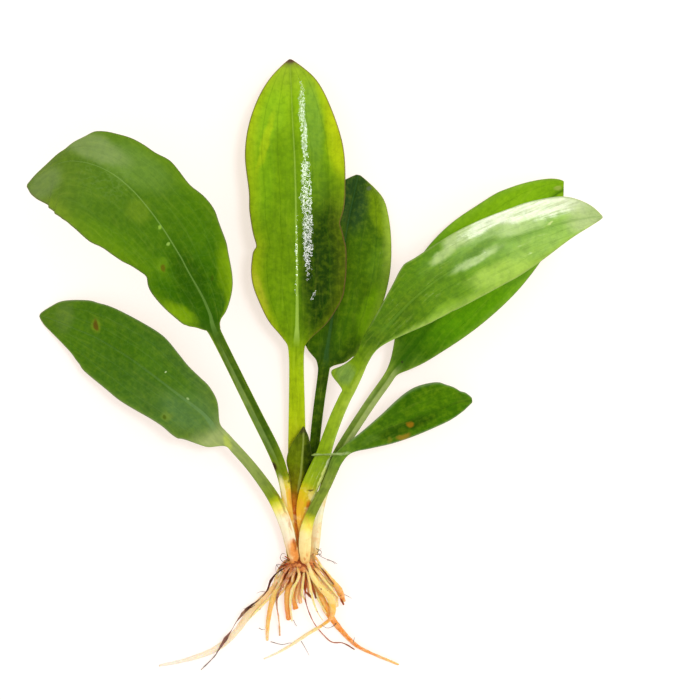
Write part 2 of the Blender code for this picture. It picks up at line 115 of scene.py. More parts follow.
room = bpy.data.worlds.new("white_room")
bpy.context.scene.world = room
room.use_nodes = True
room.node_tree.nodes["Background"].inputs["Color"].default_value = ROOM_WHITE
room.node_tree.nodes["Background"].inputs["Strength"].default_value = ROOM_LIGHT
room.cycles_visibility.glossy = False
origin = (0.0, 0.0, 0.0)
main_lamp = add_lamp("main_lamp", LAMP_PLACE, origin, (LAMP_SIZE, LAMP_SIZE), LAMP_WATTS)
main_lamp.visible_glossy = False
for side in range(4):
    turn = side * math.pi / 2.0
    panel_place = Vector((math.cos(turn), math.sin(turn), 0.0)) * PANEL_AWAY + Vector((0.0, 0.0, PANEL_UP))
    panel = add_lamp("side_panel", panel_place, origin, PANEL_SIZE, PANEL_WATTS)
    panel.visible_diffuse = False
bpy.context.scene.view_settings.view_transform = "Standard"

# The crown: the short, lumpy knob of rhizome that every leaf and root grows from. It is orange-brown,
# mostly hidden by the sheaths of the leaves, with a dark, fibrous ring where the roots come out.
CROWN_X = -3.1
CROWN_Y = -58.6
KNOB_HALF_SIZES = (4.2, 2.3, 2.75)
KNOB_CENTRE = (0.0, -0.7, 2.9)
KNOB_LUMP = 0.9
KNOB_LUMP_SIZE = 1.6
KNOB_GRIT = 0.35
KNOB_GRIT_SIZE = 0.5
BARK_GRAIN = 700.0
BARK_DEPTH = 0.35
BARK_ROUGHNESS = 0.62
PAINT = 0.86


def tone(red, green, blue):
    """A colour as it looks under the studio light, 0 to 255, as the linear value that a shader takes."""
    parts = []
    for part in (red, green, blue):
        part = part / 255.0
        linear = part / 12.92 if part <= 0.04045 else ((part + 0.055) / 1.055) ** 2.4
        parts.append(linear * PAINT)
    return (*parts, 1.0)


def add_node(tree, kind, sockets, **settings):
    """One node of a material, with its settings, and a value or a link for each socket named."""
    node = tree.nodes.new(kind)
    for name, value in settings.items():
        setattr(node, name, value)
    for socket, value in sockets.items():
        if isinstance(value, bpy.types.NodeSocket):
            tree.links.new(value, node.inputs[socket])
        else:
            node.inputs[socket].default_value = value
    return node


def work_out(tree, operation, first, second=0.0, third=0.0):
    """A sum done on values that vary over the surface."""
    return add_node(tree, "ShaderNodeMath", {0: first, 1: second, 2: third}, operation=operation).outputs[0]


def times(tree, first, second):
    """One value that varies over the surface times another."""
    return work_out(tree, "MULTIPLY", first, second)


def fade(tree, value, low, high, strength=1.0):
    """Nothing where the value is at low, rising smoothly to the strength where it is at high."""
    sockets = {"Value": value, "From Min": low, "From Max": high, "To Max": strength}
    return add_node(tree, "ShaderNodeMapRange", sockets, interpolation_type="SMOOTHSTEP").outputs["Result"]


def lay_over(tree, amount, under, over, mode="MIX"):
    """A colour, 0 to 255, laid over what is there already, as much as the amount says."""
    sockets = {0: amount, 6: under, 7: tone(*over)}
    return add_node(tree, "ShaderNodeMix", sockets, data_type="RGBA", blend_type=mode).outputs[2]


def colours_along(tree, value, stops):
    """A colour or a strength that changes along a piece: stops are a place, 0 to 1, and its value."""
    node = add_node(tree, "ShaderNodeValToRGB", {"Fac": value})
    band = node.color_ramp
    for place, *_ in stops[1:-1]:
        band.elements.new(place)
    for element, (place, *given) in zip(band.elements, stops):
        element.position = place
        element.color = tone(*given) if len(given) == 3 else (*given, *given, *given, 1.0)
    return node.outputs["Color"]


def mottle(tree, place, scale, detail, roughness=0.55):
    """Soft cloudy noise, from 0 to 1, with features about one over the scale in metres wide."""
    sockets = {"Vector": place, "Scale": scale, "Detail": detail, "Roughness": roughness}
    return add_node(tree, "ShaderNodeTexNoise", sockets).outputs["Fac"]


def new_finish(name):
    """A bare material, its node tree, its shader and the place on the piece that patterns are read from."""
    material = bpy.data.materials.new(name)
    material.use_nodes = True
    tree = material.node_tree
    place = tree.nodes.new("ShaderNodeTexCoord").outputs["Object"]
    return material, tree, tree.nodes["Principled BSDF"], place


def press_in(tree, shader, height, depth):
    """Raises and sinks the surface by the height, depth in millimetres, without moving its mesh."""
    bump = add_node(tree, "ShaderNodeBump", {"Height": height, "Distance": depth * MM, "Strength": 1.0})
    tree.links.new(bump.outputs["Normal"], shader.inputs["Normal"])


def lump_up(piece, name, size, strength):
    """Pushes the surface in and out by soft lumps of a size, in millimetres, and makes it final."""
    lumps = bpy.data.textures.new(name, "CLOUDS")
    lumps.noise_scale = size * MM
    lumps.noise_depth = 2
    push = piece.modifiers.new(name, "DISPLACE")
    push.texture = lumps
    push.texture_coords = "LOCAL"
    push.strength = strength * MM
    push.mid_level = 0.5
    bpy.ops.object.modifier_apply(modifier=push.name)


bpy.ops.object.select_all(action="DESELECT")
bpy.ops.mesh.primitive_ico_sphere_add(subdivisions=5, radius=MM)
knob = bpy.context.object
knob.name = "rhizome_knob"
bpy.ops.object.mode_set(mode="EDIT")
bpy.ops.mesh.select_all(action="SELECT")
bpy.ops.transform.resize(value=KNOB_HALF_SIZES)
knob_place = Vector((CROWN_X, CROWN_Y, 0.0)) + Vector(KNOB_CENTRE)
bpy.ops.transform.translate(value=knob_place * MM)
bpy.ops.object.mode_set(mode="OBJECT")
lump_up(knob, "knob_lumps", KNOB_LUMP_SIZE, KNOB_LUMP)
lump_up(knob, "knob_grit", KNOB_GRIT_SIZE, KNOB_GRIT)
bpy.ops.object.shade_smooth()

rhizome, tree, shader, place = new_finish("rhizome")
grain = mottle(tree, place, BARK_GRAIN, 5.0, 0.7)
bark_stops = [(0.28, 90, 40, 14), (0.40, 176, 88, 30), (0.52, 232, 140, 62), (0.70, 250, 200, 130)]
bark = colours_along(tree, grain, bark_stops)
tree.links.new(bark, shader.inputs["Base Color"])
shader.inputs["Roughness"].default_value = BARK_ROUGHNESS
press_in(tree, shader, grain, BARK_DEPTH)
knob.data.materials.append(rhizome)
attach(knob, "root")
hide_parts("crown")

# The roots, seventeen of them, fanned out from under the crown. Each is a soft, wrinkled cord of plant
# tissue, round or flattened where it has dried, and ends in a thin tip or where it was cut. The fresh
# ones are cream, the older ones orange, and the dead ones dark brown.
ROOT_SIDES = 10
RINGS_BETWEEN = 5
ROOT_DEPTH_IN_CROWN = 1.6
ROOT_LUMP = 0.22
ROOT_LUMP_SIZE = 1.4
ROOT_CLOUDS = 260.0
ROOT_GRAIN = 900.0
ROOT_SPECKS = 1100.0
ROOT_SOIL = 180.0
ROOT_ROUGHNESS = 0.5
ROOT_GLOSS = 0.3
ROOT_RELIEF = 0.16
GLOW_DEPTH = 1.5
GLOW_COLOUR = (1.0, 0.45, 0.15)
BLOOM = (255, 238, 200)


def step_between(before, start, end, after, t):
    """One step of a smooth curve through four stations, for every value of a station at once."""
    return [
        0.5 * (2 * b + (c - a) * t + (2 * a - 5 * b + 4 * c - d) * t**2 + (3 * b - a - 3 * c + d) * t**3)
        for a, b, c, d in zip(before, start, end, after)
    ]


def rows_along(stations, steps):
    """The stations with further rows between them, on a smooth curve."""
    rows = []
    last = len(stations) - 1
    for i in range(last):
        before = stations[max(i - 1, 0)]
        after = stations[min(i + 2, last)]
        for step in range(steps):
            rows.append(step_between(before, stations[i], stations[i + 1], after, step / steps))
    rows.append(list(stations[last]))
    return rows


def take_only(points):
    """Selects these points of the mesh being edited, and nothing else."""
    bpy.ops.mesh.select_all(action="DESELECT")
    for point in points:
        point.select = True


def draw_root(name, route, flatness, twist, wrinkle, sides, seed):
    """A root along its route of (x, y, z, radius), whose section is flattened and turns as it goes."""
    chance = random.Random(seed)
    rings = rows_along(route, RINGS_BETWEEN)
    bpy.ops.object.select_all(action="DESELECT")
    bpy.ops.mesh.primitive_cylinder_add(vertices=sides, radius=MM, depth=2 * MM, end_fill_type="TRIFAN")
    root = bpy.context.object
    root.name = name
    bpy.ops.object.mode_set(mode="EDIT")
    tube = bmesh.from_edit_mesh(root.data)
    bpy.ops.mesh.select_all(action="DESELECT")
    for edge in tube.edges:
        low, high = sorted(point.co.z for point in edge.verts)
        edge.select = high - low > MM
    bpy.ops.mesh.subdivide(number_cuts=len(rings) - 2)
    tube = bmesh.from_edit_mesh(root.data)
    last = len(rings) - 1
    circles = [[] for _ in rings]
    for point in tube.verts:
        circles[round((point.co.z / MM + 1.0) / 2.0 * last)].append(point)
    for i, (ring, circle) in enumerate(zip(rings, circles)):
        ahead = Vector(rings[min(i + 1, last)][0:3]) - Vector(rings[max(i - 1, 0)][0:3])
        ahead.normalize()
        tip_over = math.acos(max(-1.0, min(1.0, ahead.z)))
        heading = math.atan2(ahead.y, ahead.x)
        radius = ring[3] * (1.0 + wrinkle * chance.uniform(-1.0, 1.0))
        centre = (0.0, 0.0, (2.0 * i / last - 1.0) * MM)
        target = Vector((ring[0] + CROWN_X, ring[1] + CROWN_Y, ring[2])) * MM
        take_only(circle)
        bpy.ops.transform.resize(value=(radius * flatness, radius, 1.0), center_override=centre)
        bpy.ops.transform.rotate(value=-math.radians(twist) * i, orient_axis="Z", center_override=centre)
        bpy.ops.transform.rotate(value=-tip_over, orient_axis="Y", center_override=centre)
        bpy.ops.transform.rotate(value=-heading, orient_axis="Z", center_override=centre)
        bpy.ops.transform.translate(value=target - Vector(centre))
    bpy.ops.object.mode_set(mode="OBJECT")
    return root


def round_off(piece, levels):
    """Smooths a piece by dividing its faces, and makes that final."""
    soft = piece.modifiers.new("soft", "SUBSURF")
    soft.levels = levels
    soft.render_levels = levels
    bpy.ops.object.modifier_apply(modifier=soft.name)
    bpy.ops.object.shade_smooth()


def root_finish(name, stops, streak, dirt, dirt_share, length=30.0, streaking=0.55, bloom=0.25, glow=0.7):
    """Plant tissue, streaked lengthwise and specked with dirt: stops are the colours along the root, from
    the crown end, where most of them darken it as painted shade.
    """
    material, tree, shader, place = new_finish(name)
    split = add_node(tree, "ShaderNodeSeparateXYZ", {0: tree.nodes["Texture Coordinate"].outputs["UV"]})
    along = work_out(tree, "MULTIPLY_ADD", split.outputs["Y"], 2.0, -1.0)
    turn = times(tree, split.outputs["X"], 2.0 * math.pi)
    sockets = {
        "X": work_out(tree, "SINE", turn),
        "Y": work_out(tree, "COSINE", turn),
        "Z": times(tree, along, length / 4.0),
    }
    wrapped = add_node(tree, "ShaderNodeCombineXYZ", sockets).outputs[0]
    streaks = mottle(tree, wrapped, 2.2, 4.0, 0.65)
    clouds = mottle(tree, place, ROOT_CLOUDS, 3.0)
    wander = work_out(tree, "MULTIPLY_ADD", clouds, 0.24, -0.12)
    colour = colours_along(tree, work_out(tree, "ADD", along, wander), stops)
    colour = lay_over(tree, fade(tree, streaks, 0.50, 0.70, streaking), colour, streak)
    grain = mottle(tree, place, ROOT_GRAIN, 4.0, 0.7)
    colour = lay_over(tree, fade(tree, grain, 0.62, 0.44, bloom), colour, BLOOM)
    specks = mottle(tree, place, ROOT_SPECKS, 2.0)
    dirty = times(tree, specks, mottle(tree, place, ROOT_SOIL, 2.0))
    colour = lay_over(tree, fade(tree, dirty, 0.40 - dirt_share, 0.46 - dirt_share, 0.9), colour, dirt)
    tree.links.new(colour, shader.inputs["Base Color"])
    shader.inputs["Roughness"].default_value = ROOT_ROUGHNESS
    shader.inputs["Specular IOR Level"].default_value = ROOT_GLOSS
    shader.inputs["Subsurface Weight"].default_value = glow
    shader.inputs["Subsurface Radius"].default_value = GLOW_COLOUR
    shader.inputs["Subsurface Scale"].default_value = GLOW_DEPTH * MM
    press_in(tree, shader, work_out(tree, "ADD", streaks, specks), ROOT_RELIEF)
    return material


# Most roots start darker orange-brown at the crown end: painted shade, where the crown and the crowded roots
# shade them.
DIRT = (70, 36, 16)
cream_root = root_finish(
    "cream_root",
    [
        (0.0, 206, 104, 38), (0.10, 248, 176, 80), (0.35, 254, 218, 130), (0.7, 255, 234, 156),
        (1.0, 255, 230, 170),
    ],
    (236, 140, 46),
    DIRT,
    dirt_share=0.02,
)
orange_root = root_finish(
    "orange_root",
    [(0.0, 206, 96, 24), (0.18, 248, 158, 50), (0.6, 252, 190, 84), (1.0, 238, 148, 60)],
    (222, 122, 40),
    DIRT,
    dirt_share=0.02,
    bloom=0.12,
)
dead_root = root_finish(
    "dead_root",
    [(0.0, 200, 92, 26), (0.3, 156, 62, 14), (0.7, 176, 92, 36), (1.0, 134, 76, 40)],
    (84, 36, 14),
    (220, 140, 70),
    dirt_share=0.0,
    streaking=0.6,
    bloom=0.0,
    glow=0.3,
)
dead_ribbon = root_finish(
    "dead_ribbon",
    [
        (0.0, 216, 124, 62), (0.10, 204, 116, 58), (0.14, 70, 34, 14), (0.27, 76, 38, 14),
        (0.34, 130, 78, 34), (0.39, 96, 60, 40), (0.47, 74, 46, 32), (0.57, 150, 112, 82),
        (0.68, 120, 82, 64), (0.84, 150, 106, 92), (0.92, 110, 96, 92), (1.0, 140, 132, 130),
    ],
    (56, 30, 16),
    (210, 136, 76),
    dirt_share=0.0,
    length=60.0,
    streaking=0.5,
    bloom=0.0,
    glow=0.2,
)
hair_brown = root_finish(
    "hair_brown",
    [(0.0, 84, 44, 20), (0.5, 66, 46, 30), (1.0, 96, 84, 70)],
    (50, 26, 14),
    (150, 96, 56),
    dirt_share=0.0,
    streaking=0.3,
    bloom=0.0,
    glow=0.0,
)
faded_root = root_finish(
    "faded_root",
    [
        (0.0, 216, 120, 44), (0.14, 240, 170, 80), (0.30, 250, 200, 120), (0.45, 246, 210, 150),
        (0.65, 255, 236, 200), (1.0, 250, 242, 230),
    ],
    (246, 176, 92),
    (170, 110, 70),
    dirt_share=0.0,
    length=60.0,
    streaking=0.4,
    glow=0.25,
)
glowing_root = root_finish(
    "glowing_root",
    [
        (0.0, 240, 172, 92), (0.12, 255, 230, 140), (0.36, 255, 220, 116), (0.46, 252, 196, 72),
        (0.56, 248, 158, 40), (0.64, 250, 196, 84), (0.72, 255, 226, 150), (1.0, 255, 244, 220),
    ],
    (248, 188, 76),
    (150, 84, 34),
    dirt_share=0.0,
    length=50.0,
    streaking=0.35,
    glow=0.4,
)
long_orange_root = root_finish(
    "long_orange_root",
    [
        (0.0, 224, 134, 46), (0.2, 255, 204, 96), (0.38, 254, 186, 66), (0.48, 248, 154, 30),
        (0.62, 240, 144, 22), (0.80, 240, 146, 48), (1.0, 250, 200, 124),
    ],
    (236, 136, 34),
    (120, 56, 20),
    dirt_share=0.02,
    length=50.0,
)
yellow_root = root_finish(
    "yellow_root",
    [
        (0.0, 220, 140, 60), (0.2, 250, 200, 110), (0.5, 250, 204, 90), (0.7, 246, 190, 76),
        (0.9, 252, 214, 136), (1.0, 250, 216, 150),
    ],
    (232, 150, 50),
    DIRT,
    dirt_share=0.01,
    streaking=0.7,
)
pink_root = root_finish(
    "pink_root",
    [(0.0, 186, 76, 20), (0.25, 240, 146, 70), (0.6, 252, 190, 118), (1.0, 254, 210, 150)],
    (208, 100, 34),
    DIRT,
    dirt_share=0.02,
)
amber_root = root_finish(
    "amber_root",
    [(0.0, 220, 140, 60), (0.3, 254, 212, 116), (0.6, 252, 194, 84), (1.0, 234, 150, 48)],
    (220, 128, 40),
    DIRT,
    dirt_share=0.03,
)
brown_root = root_finish(
    "brown_root",
    [
        (0.0, 200, 116, 56), (0.35, 190, 116, 60), (0.5, 120, 66, 34), (0.68, 150, 92, 56),
        (0.8, 226, 172, 120), (1.0, 200, 150, 104),
    ],
    (120, 62, 30),
    DIRT,
    dirt_share=0.0,
)

# Each root: its node, its finish, its slot, how flat it is, its turn from ring to ring, its wrinkles,
# and its route as x, y, z and radius.
ROOTS = [
    ("root_long_left", faded_root, "pale_root", 0.62, 1.0, 0.10, [
        (-3.4, -2.8, 1.3, 0.6), (-6.6, -5.7, 1.3, 0.8), (-10.7, -9.7, 1.3, 0.95),
        (-15.5, -14.8, 1.2, 1.05), (-20.0, -21.1, 1.1, 1.05), (-26.3, -26.2, 0.9, 0.95),
        (-35.0, -29.3, 0.75, 0.65), (-42.8, -31.0, 0.45, 0.35),
    ]),
    ("root_stub_left", pink_root, "pale_root", 0.9, 0.0, 0.12, [
        (-4.4, -1.9, 3.1, 0.55), (-6.2, -3.8, 3.1, 0.65), (-8.6, -6.6, 3.1, 0.55),
    ]),
    ("root_yellow_left", yellow_root, "pale_root", 0.7, 2.0, 0.14, [
        (-2.8, -3.1, 3.0, 0.5), (-5.6, -6.1, 3.3, 0.65), (-8.0, -8.9, 3.2, 0.85), (-9.6, -14.4, 2.2, 1.0),
        (-10.3, -19.6, 1.2, 0.75), (-10.4, -23.4, 0.75, 0.65),
    ]),
    ("root_pale_thin", cream_root, "pale_root", 0.9, 0.0, 0.10, [
        (-1.0, -1.6, 5.2, 0.4), (-0.7, -3.4, 5.3, 0.5), (-1.5, -5.4, 5.2, 0.45), (-3.0, -8.0, 4.8, 0.42),
        (-3.4, -12.3, 3.8, 0.34), (-2.9, -17.3, 2.4, 0.26),
    ]),
    ("root_pale_middle", cream_root, "pale_root", 0.9, 0.0, 0.10, [
        (0.7, -2.4, 4.0, 0.42), (0.3, -6.6, 4.4, 0.42), (0.1, -9.0, 3.6, 0.36), (0.9, -11.0, 2.8, 0.22),
    ]),
    ("root_thin_right", cream_root, "pale_root", 0.9, 0.0, 0.10, [
        (1.8, -2.7, 5.2, 0.4), (2.5, -5.8, 5.6, 0.42), (3.4, -10.6, 4.9, 0.36), (4.6, -14.2, 4.0, 0.18),
        (6.3, -17.0, 3.4, 0.13),
    ]),
    ("root_bent_pale", glowing_root, "pale_root", 0.75, 1.0, 0.10, [
        (2.2, -0.8, 5.4, 0.62), (3.3, -3.6, 5.3, 0.80), (5.9, -7.3, 5.0, 0.92), (8.4, -10.0, 4.5, 1.15),
        (9.3, -13.6, 4.0, 1.05), (8.7, -16.2, 3.7, 0.65), (6.2, -18.4, 3.2, 0.5), (2.2, -20.9, 2.4, 0.55),
        (-1.8, -23.7, 1.5, 0.55), (-6.0, -26.4, 0.95, 0.42), (-11.4, -29.0, 0.55, 0.26),
    ]),
    ("root_right_inner", cream_root, "pale_root", 0.6, 0.0, 0.12, [
        (4.3, -1.8, 3.0, 0.6), (6.6, -5.2, 2.8, 0.95), (8.9, -9.4, 2.0, 1.55), (10.0, -13.4, 1.5, 1.15),
    ]),
    ("root_orange_left", orange_root, "orange_root", 0.75, 2.0, 0.14, [
        (-1.5, -3.4, 3.2, 0.5), (-3.8, -7.1, 3.2, 0.9), (-4.5, -11.6, 2.4, 1.0), (-3.9, -17.2, 1.3, 0.8),
    ]),
    ("root_club", orange_root, "orange_root", 0.9, 0.0, 0.10, [
        (-1.2, -3.2, 1.4, 0.5), (-2.0, -8.4, 1.5, 0.6), (-2.2, -11.7, 1.4, 0.8), (-1.8, -13.9, 1.2, 0.9),
    ]),
    ("root_pink_middle", pink_root, "orange_root", 0.8, 0.0, 0.14, [
        (-0.4, -3.3, 1.5, 0.6), (-0.9, -8.0, 1.6, 0.8), (-0.4, -12.3, 1.3, 0.6),
    ]),
    ("root_long_right", long_orange_root, "orange_root", 0.62, 1.5, 0.12, [
        (1.9, -3.3, 1.3, 0.6), (3.9, -7.2, 1.4, 1.0), (6.6, -12.3, 1.3, 1.35), (9.3, -17.2, 1.2, 1.2),
        (13.1, -21.8, 1.1, 0.95), (16.5, -25.0, 0.9, 0.75), (21.0, -27.3, 0.78, 0.6),
        (29.1, -30.7, 0.62, 0.5),
    ]),
    ("root_right_bunch", amber_root, "orange_root", 0.7, 2.0, 0.16, [
        (4.7, -0.6, 3.3, 0.6), (6.7, -2.4, 3.5, 0.8), (9.2, -5.4, 3.2, 0.95), (11.2, -8.2, 2.4, 1.25),
        (12.4, -11.6, 1.4, 1.0),
    ]),
    ("root_dark_left", dead_ribbon, "dark_root", 0.42, 11.0, 0.16, [
        (-4.6, -1.0, 4.6, 0.3), (-7.4, -2.7, 4.9, 0.5), (-9.3, -5.3, 4.6, 0.4), (-10.2, -7.9, 4.3, 0.28),
        (-12.8, -10.8, 4.0, 0.26), (-15.2, -12.6, 3.8, 0.45), (-17.2, -14.5, 3.7, 0.55),
        (-19.5, -17.4, 3.5, 0.28), (-20.9, -19.9, 3.3, 0.22), (-22.9, -22.8, 3.0, 0.62),
        (-24.7, -25.7, 2.6, 0.42), (-26.4, -28.4, 1.1, 0.26), (-30.3, -32.3, 0.42, 0.16),
    ]),
    ("root_thin_brown", brown_root, "dark_root", 0.9, 0.0, 0.10, [
        (-2.7, -2.3, 5.3, 0.4), (-5.2, -5.6, 5.3, 0.42), (-7.2, -9.8, 4.6, 0.36),
        (-7.4, -13.0, 3.4, 0.26), (-6.9, -16.6, 2.2, 0.24), (-6.6, -22.0, 0.95, 0.26),
    ]),
    ("root_dark_middle", dead_root, "dark_root", 0.9, 0.0, 0.12, [
        (0.9, -3.2, 3.6, 0.4), (1.2, -6.4, 4.0, 0.36), (1.0, -9.8, 4.0, 0.2), (1.7, -13.2, 3.4, 0.16),
        (3.4, -17.5, 2.2, 0.14), (5.7, -20.8, 1.3, 0.14), (8.9, -23.9, 0.6, 0.17),
        (12.3, -24.2, 0.45, 0.19), (15.8, -26.2, 0.38, 0.15),
    ]),
    ("root_dark_stub", dead_root, "dark_root", 0.9, 0.0, 0.16, [
        (1.9, -3.6, 2.7, 0.4), (3.2, -7.0, 2.7, 0.45), (4.3, -10.6, 2.2, 0.3),
    ]),
]

for number, (node, finish, slot, flatness, twist, wrinkle, route) in enumerate(ROOTS):
    first, second = Vector(route[0][0:3]), Vector(route[1][0:3])
    inside = first + (first - second).normalized() * ROOT_DEPTH_IN_CROWN
    hidden = (inside.x, inside.y, max(inside.z, 1.0), route[0][3])
    piece_name = node.replace("root_", "") + "_root"
    root = draw_root(piece_name, [hidden, *route], flatness, twist, wrinkle, ROOT_SIDES, number)
    round_off(root, 1)
    lump_up(root, "root_lumps", ROOT_LUMP_SIZE, ROOT_LUMP)
    root.data.materials.append(finish)
    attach(root, "root")
    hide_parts(node)

# The small roots that fill the fan between the larger ones, and the dead brown stumps under them,
# which are partly the dark fibres at the crown and partly a dark fill, painted shade, for the gaps
# between the roots. They are too thin to stand alone, so each group of one colour is one piece.
SMALL_ROOT_SIDES = 6
SMALL_FLATNESS = 0.9
SMALL_TWIST = 4.0
SMALL_WRINKLE = 0.14
SMALL_ROOTS = [
    ("small_pink_roots", pink_root, "pale_root", [
        [(-4.2, 1.1, 3.2, 0.4), (-5.4, 0.1, 3.6, 0.5), (-6.6, -1.7, 3.4, 0.5), (-7.8, -4.2, 3.0, 0.35)],
        [(-3.8, 0.6, 4.0, 0.4), (-5.2, -1.2, 4.2, 0.5), (-6.2, -3.2, 4.0, 0.45), (-7.0, -5.8, 3.6, 0.3)],
        [(-4.3, 0.8, 3.4, 0.4), (-6.3, -1.2, 3.6, 0.55), (-7.6, -3.8, 3.2, 0.5), (-8.3, -6.6, 2.6, 0.35)],
        [(-3.4, -0.4, 4.2, 0.4), (-5.4, -2.9, 4.4, 0.5), (-6.3, -5.2, 4.0, 0.5), (-8.0, -8.2, 3.2, 0.35)],
        [(-2.7, -1.0, 4.6, 0.4), (-4.0, -3.6, 4.8, 0.55), (-4.6, -5.4, 4.4, 0.5), (-5.4, -7.6, 3.8, 0.3)],
        [(-1.9, -1.2, 4.8, 0.4), (-2.6, -3.6, 5.0, 0.5), (-2.9, -5.4, 4.6, 0.4)],
        [(-0.2, -2.2, 3.0, 0.4), (-0.8, -6.0, 3.0, 0.55), (-1.6, -9.4, 2.6, 0.5), (-1.5, -12.0, 2.2, 0.35)],
        [(1.2, -3.0, 2.2, 0.4), (1.8, -7.0, 2.2, 0.5), (2.2, -10.2, 1.8, 0.35)],
        [(4.9, 0.8, 3.6, 0.35), (6.0, -1.2, 3.8, 0.45), (7.4, -4.3, 3.6, 0.4), (9.0, -6.6, 3.2, 0.3)],
    ]),
    ("small_cream_roots", cream_root, "pale_root", [
        [(-2.0, -2.6, 2.2, 0.4), (-5.0, -7.6, 2.0, 0.45), (-8.2, -11.4, 1.6, 0.4), (-9.6, -16.0, 1.0, 0.3)],
        [(-2.6, -2.4, 2.4, 0.4), (-7.0, -7.8, 2.4, 0.5), (-12.4, -13.2, 2.0, 0.45), (-16.5, -17.6, 1.5, 0.3)],
        [(3.4, 3.0, 3.6, 0.4), (5.0, 0.6, 4.0, 0.45), (6.8, -2.4, 3.8, 0.45), (9.4, -6.2, 3.4, 0.35)],
        [(3.0, -1.8, 4.0, 0.4), (5.2, -5.0, 4.0, 0.5), (7.6, -8.2, 3.6, 0.45), (9.3, -11.8, 3.0, 0.35)],
        [(3.6, -1.0, 4.6, 0.35), (5.6, -3.4, 4.8, 0.45), (8.4, -6.8, 4.4, 0.45), (11.2, -10.4, 3.4, 0.35)],
        [(2.2, -3.0, 2.0, 0.4), (3.4, -7.0, 2.2, 0.5), (5.0, -11.0, 2.0, 0.5), (7.3, -15.2, 2.1, 0.35)],
        [(-0.6, -2.6, 4.6, 0.3), (-1.9, -6.4, 4.4, 0.36), (-2.9, -9.8, 3.6, 0.3), (-3.3, -13.4, 2.6, 0.2)],
    ]),
    # The dead stumps darken the gaps between the roots: partly dark fibres, partly painted shade.
    ("dead_roots_and_shade_fill", dead_root, "dark_root", [
        [(-4.6, 0.6, 2.2, 0.4), (-6.8, -1.8, 2.4, 0.45), (-8.2, -5.4, 2.0, 0.3)],
        [(-4.0, 0.2, 4.6, 0.4), (-5.6, -0.6, 4.8, 0.45), (-6.8, -1.4, 4.5, 0.3)],
        [(-3.4, -0.8, 3.0, 0.4), (-4.9, -4.0, 3.2, 0.45), (-5.7, -7.4, 2.6, 0.25)],
        [(-2.3, -1.4, 3.6, 0.4), (-3.4, -4.6, 3.6, 0.4), (-4.6, -8.2, 3.0, 0.25)],
        [(-1.3, -1.8, 3.4, 0.4), (-1.9, -5.0, 3.6, 0.35), (-2.7, -8.4, 3.0, 0.2)],
        [(0.6, -2.4, 2.4, 0.4), (0.7, -5.4, 2.6, 0.35), (0.9, -8.2, 2.4, 0.25), (2.2, -9.6, 2.2, 0.5),
         (2.9, -10.6, 2.0, 0.2)],
        [(-1.6, 1.0, 4.9, 0.25), (-0.2, 0.3, 5.4, 0.32), (1.0, -0.4, 5.6, 0.35), (1.9, -1.7, 5.5, 0.3),
         (2.5, -2.9, 5.2, 0.2)],
        [(-5.0, 2.3, 4.6, 0.2), (-3.6, 1.5, 5.2, 0.28), (-1.8, 0.7, 5.4, 0.32), (-0.9, 0.2, 5.0, 0.25)],
        [(1.5, -2.2, 4.2, 0.35), (2.0, -5.0, 4.4, 0.3), (2.7, -7.4, 4.0, 0.16)],
        [(3.2, -1.2, 3.2, 0.35), (5.0, -4.6, 3.2, 0.3), (6.4, -8.0, 2.8, 0.2)],
        [(5.6, -0.8, 4.0, 0.2), (7.4, -3.2, 4.3, 0.28), (9.6, -6.2, 4.0, 0.2)],
        [(11.6, -10.6, 2.2, 0.3), (12.2, -11.8, 2.0, 0.4), (12.5, -12.6, 1.7, 0.3)],
    ]),
]


def join_up(pieces, name):
    """Makes one piece of several."""
    bpy.ops.object.select_all(action="DESELECT")
    for piece in pieces:
        piece.select_set(True)
    bpy.context.view_layer.objects.active = pieces[0]
    if len(pieces) > 1:
        bpy.ops.object.join()
    joined = bpy.context.view_layer.objects.active
    joined.name = name
    return joined


for name, finish, slot, routes in SMALL_ROOTS:
    small = [
        draw_root(name, route, SMALL_FLATNESS, SMALL_TWIST, SMALL_WRINKLE, SMALL_ROOT_SIDES, number)
        for number, route in enumerate(routes)
    ]
    group = join_up(small, name)
    round_off(group, 1)
    group.data.materials.append(finish)
    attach(group, "root")

